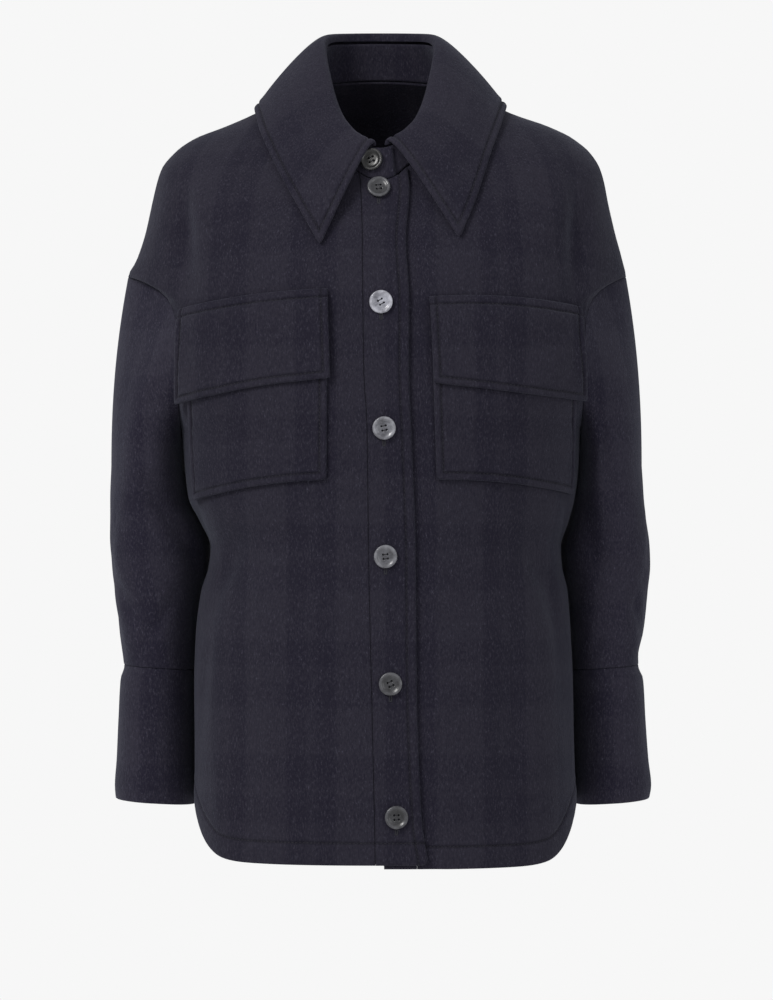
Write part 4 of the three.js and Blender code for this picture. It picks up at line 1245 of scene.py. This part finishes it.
button = {
    "face": ((0.016, 0.016, 0.019), (0.050, 0.051, 0.058)),
    # rim: paler colours that paint a highlight on the raised rim
    "rim": ((0.045, 0.045, 0.052), (0.115, 0.116, 0.13)),
    "radius": 10.5, "thickness": 3.3, "dish": 1.5, "holeRadius": 0.95, "holeSpread": 1.95, "sides": 56,
    "pegSides": 14, "lift": 0.15,
    # thread through the holes: its depth below the face, thickness and arch
    "threadDepth": 1.3, "thread": 0.8, "threadArch": 1.55,
    # buttonhole: its ends, thread to either side of the slit, depth, thickness, ribs
    "slitLow": -15.2, "slitHigh": 7.0, "slitSide": 0.95, "slitDepth": 0.35, "slitThread": 1.5,
    "rib": 0.16, "ribPitch": 0.9,
    # height on the front, seat above the band, tilt forwards and sideways, turn (degrees)
    "rows": [
        (-53.2, 0.4, 2, -2, 20), (-79.4, 0.7, -3, 1, 8), (-183.8, 0.4, 3.5, -1.5, 30),
        (-296.6, 0.4, -1, 2, 12), (-411.6, 0.6, 1, 1.5, 6), (-525.7, 0.4, -2, -1, 25),
        (-644.8, 0.4, -2.5, 1, 3),
    ],
    # painted light and shade: how much each button's face and rim are lightened or darkened, standing in
    # for lamp reflections and, on the first, the collar's shadow
    "buttonPaintedLight": [(0.12, 0.2), (1.1, 0.9), (9.5, 5), (4.6, 2.9), (3.1, 2), (1.1, 1), (0.9, 0.95)],
}


def hornMaterial(name, facePaintedLight, rimPaintedLight):
    # smoky horn: cloudy grey, with a painted highlight that makes the rim paler, half gloss with fine wear
    material, tree, shader, space = newMaterial(name)
    face = addNode(tree, "ShaderNodeUVMap", uv_map="cloth")
    far = addNode(tree, "ShaderNodeVectorMath", operation="LENGTH")
    tree.links.new(face.outputs["UV"], far.inputs[0])
    cloud = noiseOf(tree, space, 130, 4, 0.6)
    streak = noiseOf(tree, space, 900, 2, 0.5)
    rimShare = spreadValue(tree, far.outputs["Value"], 0.0066, 0.0086)
    clouds = spreadValue(tree, cloud, 0.35, 0.65)
    dark, pale = ([c * facePaintedLight for c in colour] for colour in button["face"])
    base = blend(tree, clouds, dark, pale)
    dark, pale = ([c * rimPaintedLight for c in colour] for colour in button["rim"])
    rim = blend(tree, clouds, dark, pale)
    tree.links.new(blend(tree, rimShare, base, rim), shader.inputs["Base Color"])
    tree.links.new(spreadValue(tree, streak, 0.3, 0.7, 0.24, 0.42), shader.inputs["Roughness"])
    shader.inputs["Coat Weight"].default_value = 0.35
    shader.inputs["Coat Roughness"].default_value = 0.18
    addBump(tree, shader, streak, 0.12, 0.0002)
    return material


def turnedDisc(profile, sides):
    # a profile of radius and height turned about z, closed at both ends on the axis
    angle = 2 * pi * np.arange(sides) / sides
    radius, height = np.array(profile[1:-1], float).T
    circles = stack(radius[:, None] * np.cos(angle), radius[:, None] * np.sin(angle), height[:, None])
    vertices = np.concatenate([circles.reshape(-1, 3), [[0, 0, profile[0][1]]], [[0, 0, profile[-1][1]]]])
    index = closeRing(np.arange(len(radius) * sides).reshape(len(radius), sides))
    foot, tip = len(vertices) - 2, len(vertices) - 1
    faces = [tuple(face) for face in quads(index)]
    faces += [(foot, index[0, k + 1], index[0, k]) for k in range(sides)]
    faces += [(tip, index[-1, k], index[-1, k + 1]) for k in range(sides)]
    return vertices, [tuple(map(int, face)) for face in faces]


radius, thick, dish = button["radius"], button["thickness"], button["dish"]
profile = [
    (0, 0), (radius - 2.2, 0), (radius - 1.1, 0.25), (radius - 0.35, 0.9), (radius, 1.6),
    (radius - 0.05, 2.3), (radius - 0.4, thick - 0.35), (radius - 1.1, thick),
    (radius - 1.9, thick - 0.05), (radius - 2.7, thick - 0.5),
    (radius - 3.4, thick - 0.95), (radius - 4.4, thick - dish + 0.18), (radius - 6, thick - dish),
    (1.2, thick - dish), (0, thick - dish),
]
disc = addObject("buttonDisc", *turnedDisc(profile, button["sides"]))
hole = button["holeRadius"]
pegProfile = [(0, -1), (hole, -1), (hole, 2 * thick), (0, 2 * thick)]
pegVertices, pegFaces = turnedDisc(pegProfile, button["pegSides"])
for spot in ((-1, -1, 0), (-1, 1, 0), (1, -1, 0), (1, 1, 0)):
    cutter = disc.modifiers.new("hole", "BOOLEAN")
    cutter.operation = "DIFFERENCE"
    cutter.solver = "EXACT"
    cutter.object = addObject("peg", pegVertices + np.array(spot) * button["holeSpread"], pegFaces)
bpy.context.view_layer.update()
cutMesh = bpy.data.meshes.new_from_object(disc.evaluated_get(bpy.context.evaluated_depsgraph_get()))
for spare in [disc] + [o for o in scene.objects if o.name.startswith("peg")]:
    bpy.data.objects.remove(spare)
cutVertices = np.zeros(len(cutMesh.vertices) * 3)
cutMesh.vertices.foreach_get("co", cutVertices)
cutVertices = cutVertices.reshape(-1, 3) / metre
cutFaces = [tuple(polygon.vertices) for polygon in cutMesh.polygons]
cutCorners = np.concatenate([np.array(face) for face in cutFaces])


def turned(forwards, sideways, spin):
    # a small turn about the button's own axes
    a, b, c = (math.radians(value) for value in (forwards, sideways, spin))
    tip = np.array([[1, 0, 0], [0, math.cos(a), -math.sin(a)], [0, math.sin(a), math.cos(a)]])
    roll = np.array([[math.cos(b), 0, math.sin(b)], [0, 1, 0], [-math.sin(b), 0, math.cos(b)]])
    turn = np.array([[math.cos(c), -math.sin(c), 0], [math.sin(c), math.cos(c), 0], [0, 0, 1]])
    return tip @ roll @ turn


def bar(start, end, thicknessOf, arch, sides=8, rows=9):
    # a strand of thread from start to end that rises in an arch along z
    t = np.linspace(0, 1, rows)
    middle = mix(np.array(start, float), np.array(end, float), t[:, None])
    middle[:, 2] += arch * np.sin(pi * t)
    along = unit(np.gradient(middle, axis=0))
    beside = unit(np.cross(along, (0, 0, 1)))
    up = np.cross(beside, along)
    angle = 2 * pi * np.arange(sides) / sides
    ringPoints = (
        middle[:, None] + thicknessOf / 2 * np.cos(angle)[None, :, None] * beside[:, None]
        + thicknessOf / 2 * np.sin(angle)[None, :, None] * up[:, None]
    )
    index = closeRing(np.arange(rows * sides).reshape(rows, sides))
    faces = [tuple(face) for face in quads(index)[:, ::-1]]
    faces += [tuple(index[0, :-1]), tuple(index[-1, :-1][::-1])]
    return ringPoints.reshape(-1, 3), faces


def joined(parts):
    vertices, faces, shift = [], [], 0
    for partVertices, partFaces in parts:
        vertices.append(partVertices)
        faces += [tuple(int(corner) + shift for corner in face) for face in partFaces]
        shift += len(partVertices)
    return np.concatenate(vertices), faces


for number, (z, seat, forwards, sideways, spin) in enumerate(button["rows"], 1):
    x = float(lines("button", z))
    if number == 1:
        turn = np.array([math.asin(x / collar["foldHalf"])])
        lift = np.array([float(body["bandLift"])])
        foot = standFace(turn, np.array([0.0]), lift)[0]
        top = standFace(turn, np.array([1.0]), lift)[0]
        share = np.array([(z - foot[2]) / (top[2] - foot[2])])
        place = standFace(turn, share, lift)[0]
        alongTurn = standFace(turn + 1e-3, share, lift)[0] - standFace(turn - 1e-3, share, lift)[0]
        upStand = standFace(turn, share + 1e-3, lift)[0] - standFace(turn, share - 1e-3, lift)[0]
        normal = unit(np.cross(alongTurn, upStand))
        place = place + normal * seat
    else:
        angle, level = frontAt(x, z)
        normal = bodyNormal(angle, level)
        place = onBody(angle, level, body["bandLift"] + seat)
    right = unit(np.cross((0, 0, 1), normal)) * -1
    right = right if right[0] > 0 else -right
    up = np.cross(normal, right)
    base = np.stack([right, up, normal], 1) @ turned(forwards, sideways, spin)
    lifted = place + normal * button["lift"]
    horn = hornMaterial(f"horn{number}", *button["buttonPaintedLight"][number - 1])
    addMesh(
        f"button{number}", cutVertices @ base.T + lifted, cutFaces, horn, [f"button_{number}"],
        uv=cutVertices[cutCorners][:, :2],
    )
    gap = button["holeSpread"]
    deep = thick - dish - button["threadDepth"]
    strandVertices, strandFaces = joined([
        bar((-gap, y, deep), (gap, y, deep), button["thread"], button["threadArch"]) for y in (-gap, gap)
    ])
    addMesh(f"buttonThread{number}", strandVertices @ base.T + lifted, strandFaces, thread)
    # buttonhole: a row of close thread to either side of the slit, mostly under the button
    if number > 1:
        low, high, wide = button["slitLow"], button["slitHigh"], button["slitThread"]
        deep = -button["slitDepth"]
        strands = [
            bar((x0, low, deep), (x0, high, deep), wide, 0.0, rows=24)
            for x0 in (-button["slitSide"], button["slitSide"])
        ]
        strands.append(bar((-wide, low - 0.2, deep), (wide, low - 0.2, deep), wide, 0.0, rows=5))
        flat = np.stack([right, up, normal], 1)
        holeVertices, holeFaces = joined(strands)
        holeVertices[:, 2] *= 1 + button["rib"] * np.sin(holeVertices[:, 1] * 2 * pi / button["ribPitch"])
        holePlace = onBody(*frontAt(x, z), body["bandLift"])
        addMesh(f"buttonhole{number}", holeVertices @ flat.T + holePlace, holeFaces, thread)
print("buttons made")

# Floor

halfFloor = stage["floorHalf"]
floorHeight = float(cadBox[0][2]) / metre - stage["floorDrop"]
turnsRound = ((-1, -1), (1, -1), (1, 1), (-1, 1))
floorCorners = np.array([(x * halfFloor, y * halfFloor, floorHeight) for x, y in turnsRound])
floor = addObject("floor", floorCorners, [(0, 1, 2, 3)])
floorPaint, floorTree, floorShader, floorSpace = newMaterial("paleFloor")
floorNoise = noiseOf(floorTree, floorSpace, 3, 2, 0.5)
floorColour = blend(floorTree, floorNoise, (0.83, 0.83, 0.84), (0.87, 0.87, 0.87))
floorTree.links.new(floorColour, floorShader.inputs["Base Color"])
floorShader.inputs["Roughness"].default_value = 0.9
floor.data.materials.append(floorPaint)
floor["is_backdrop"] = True

# Remove the aim and count the triangles of the shown pieces

bpy.data.objects.remove(aim)
bpy.context.view_layer.update()
triangles = {o.name: sum(len(p.vertices) - 2 for p in o.data.polygons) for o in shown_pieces()}
print("triangles", sum(triangles.values()), max(triangles.items(), key=lambda item: item[1]))
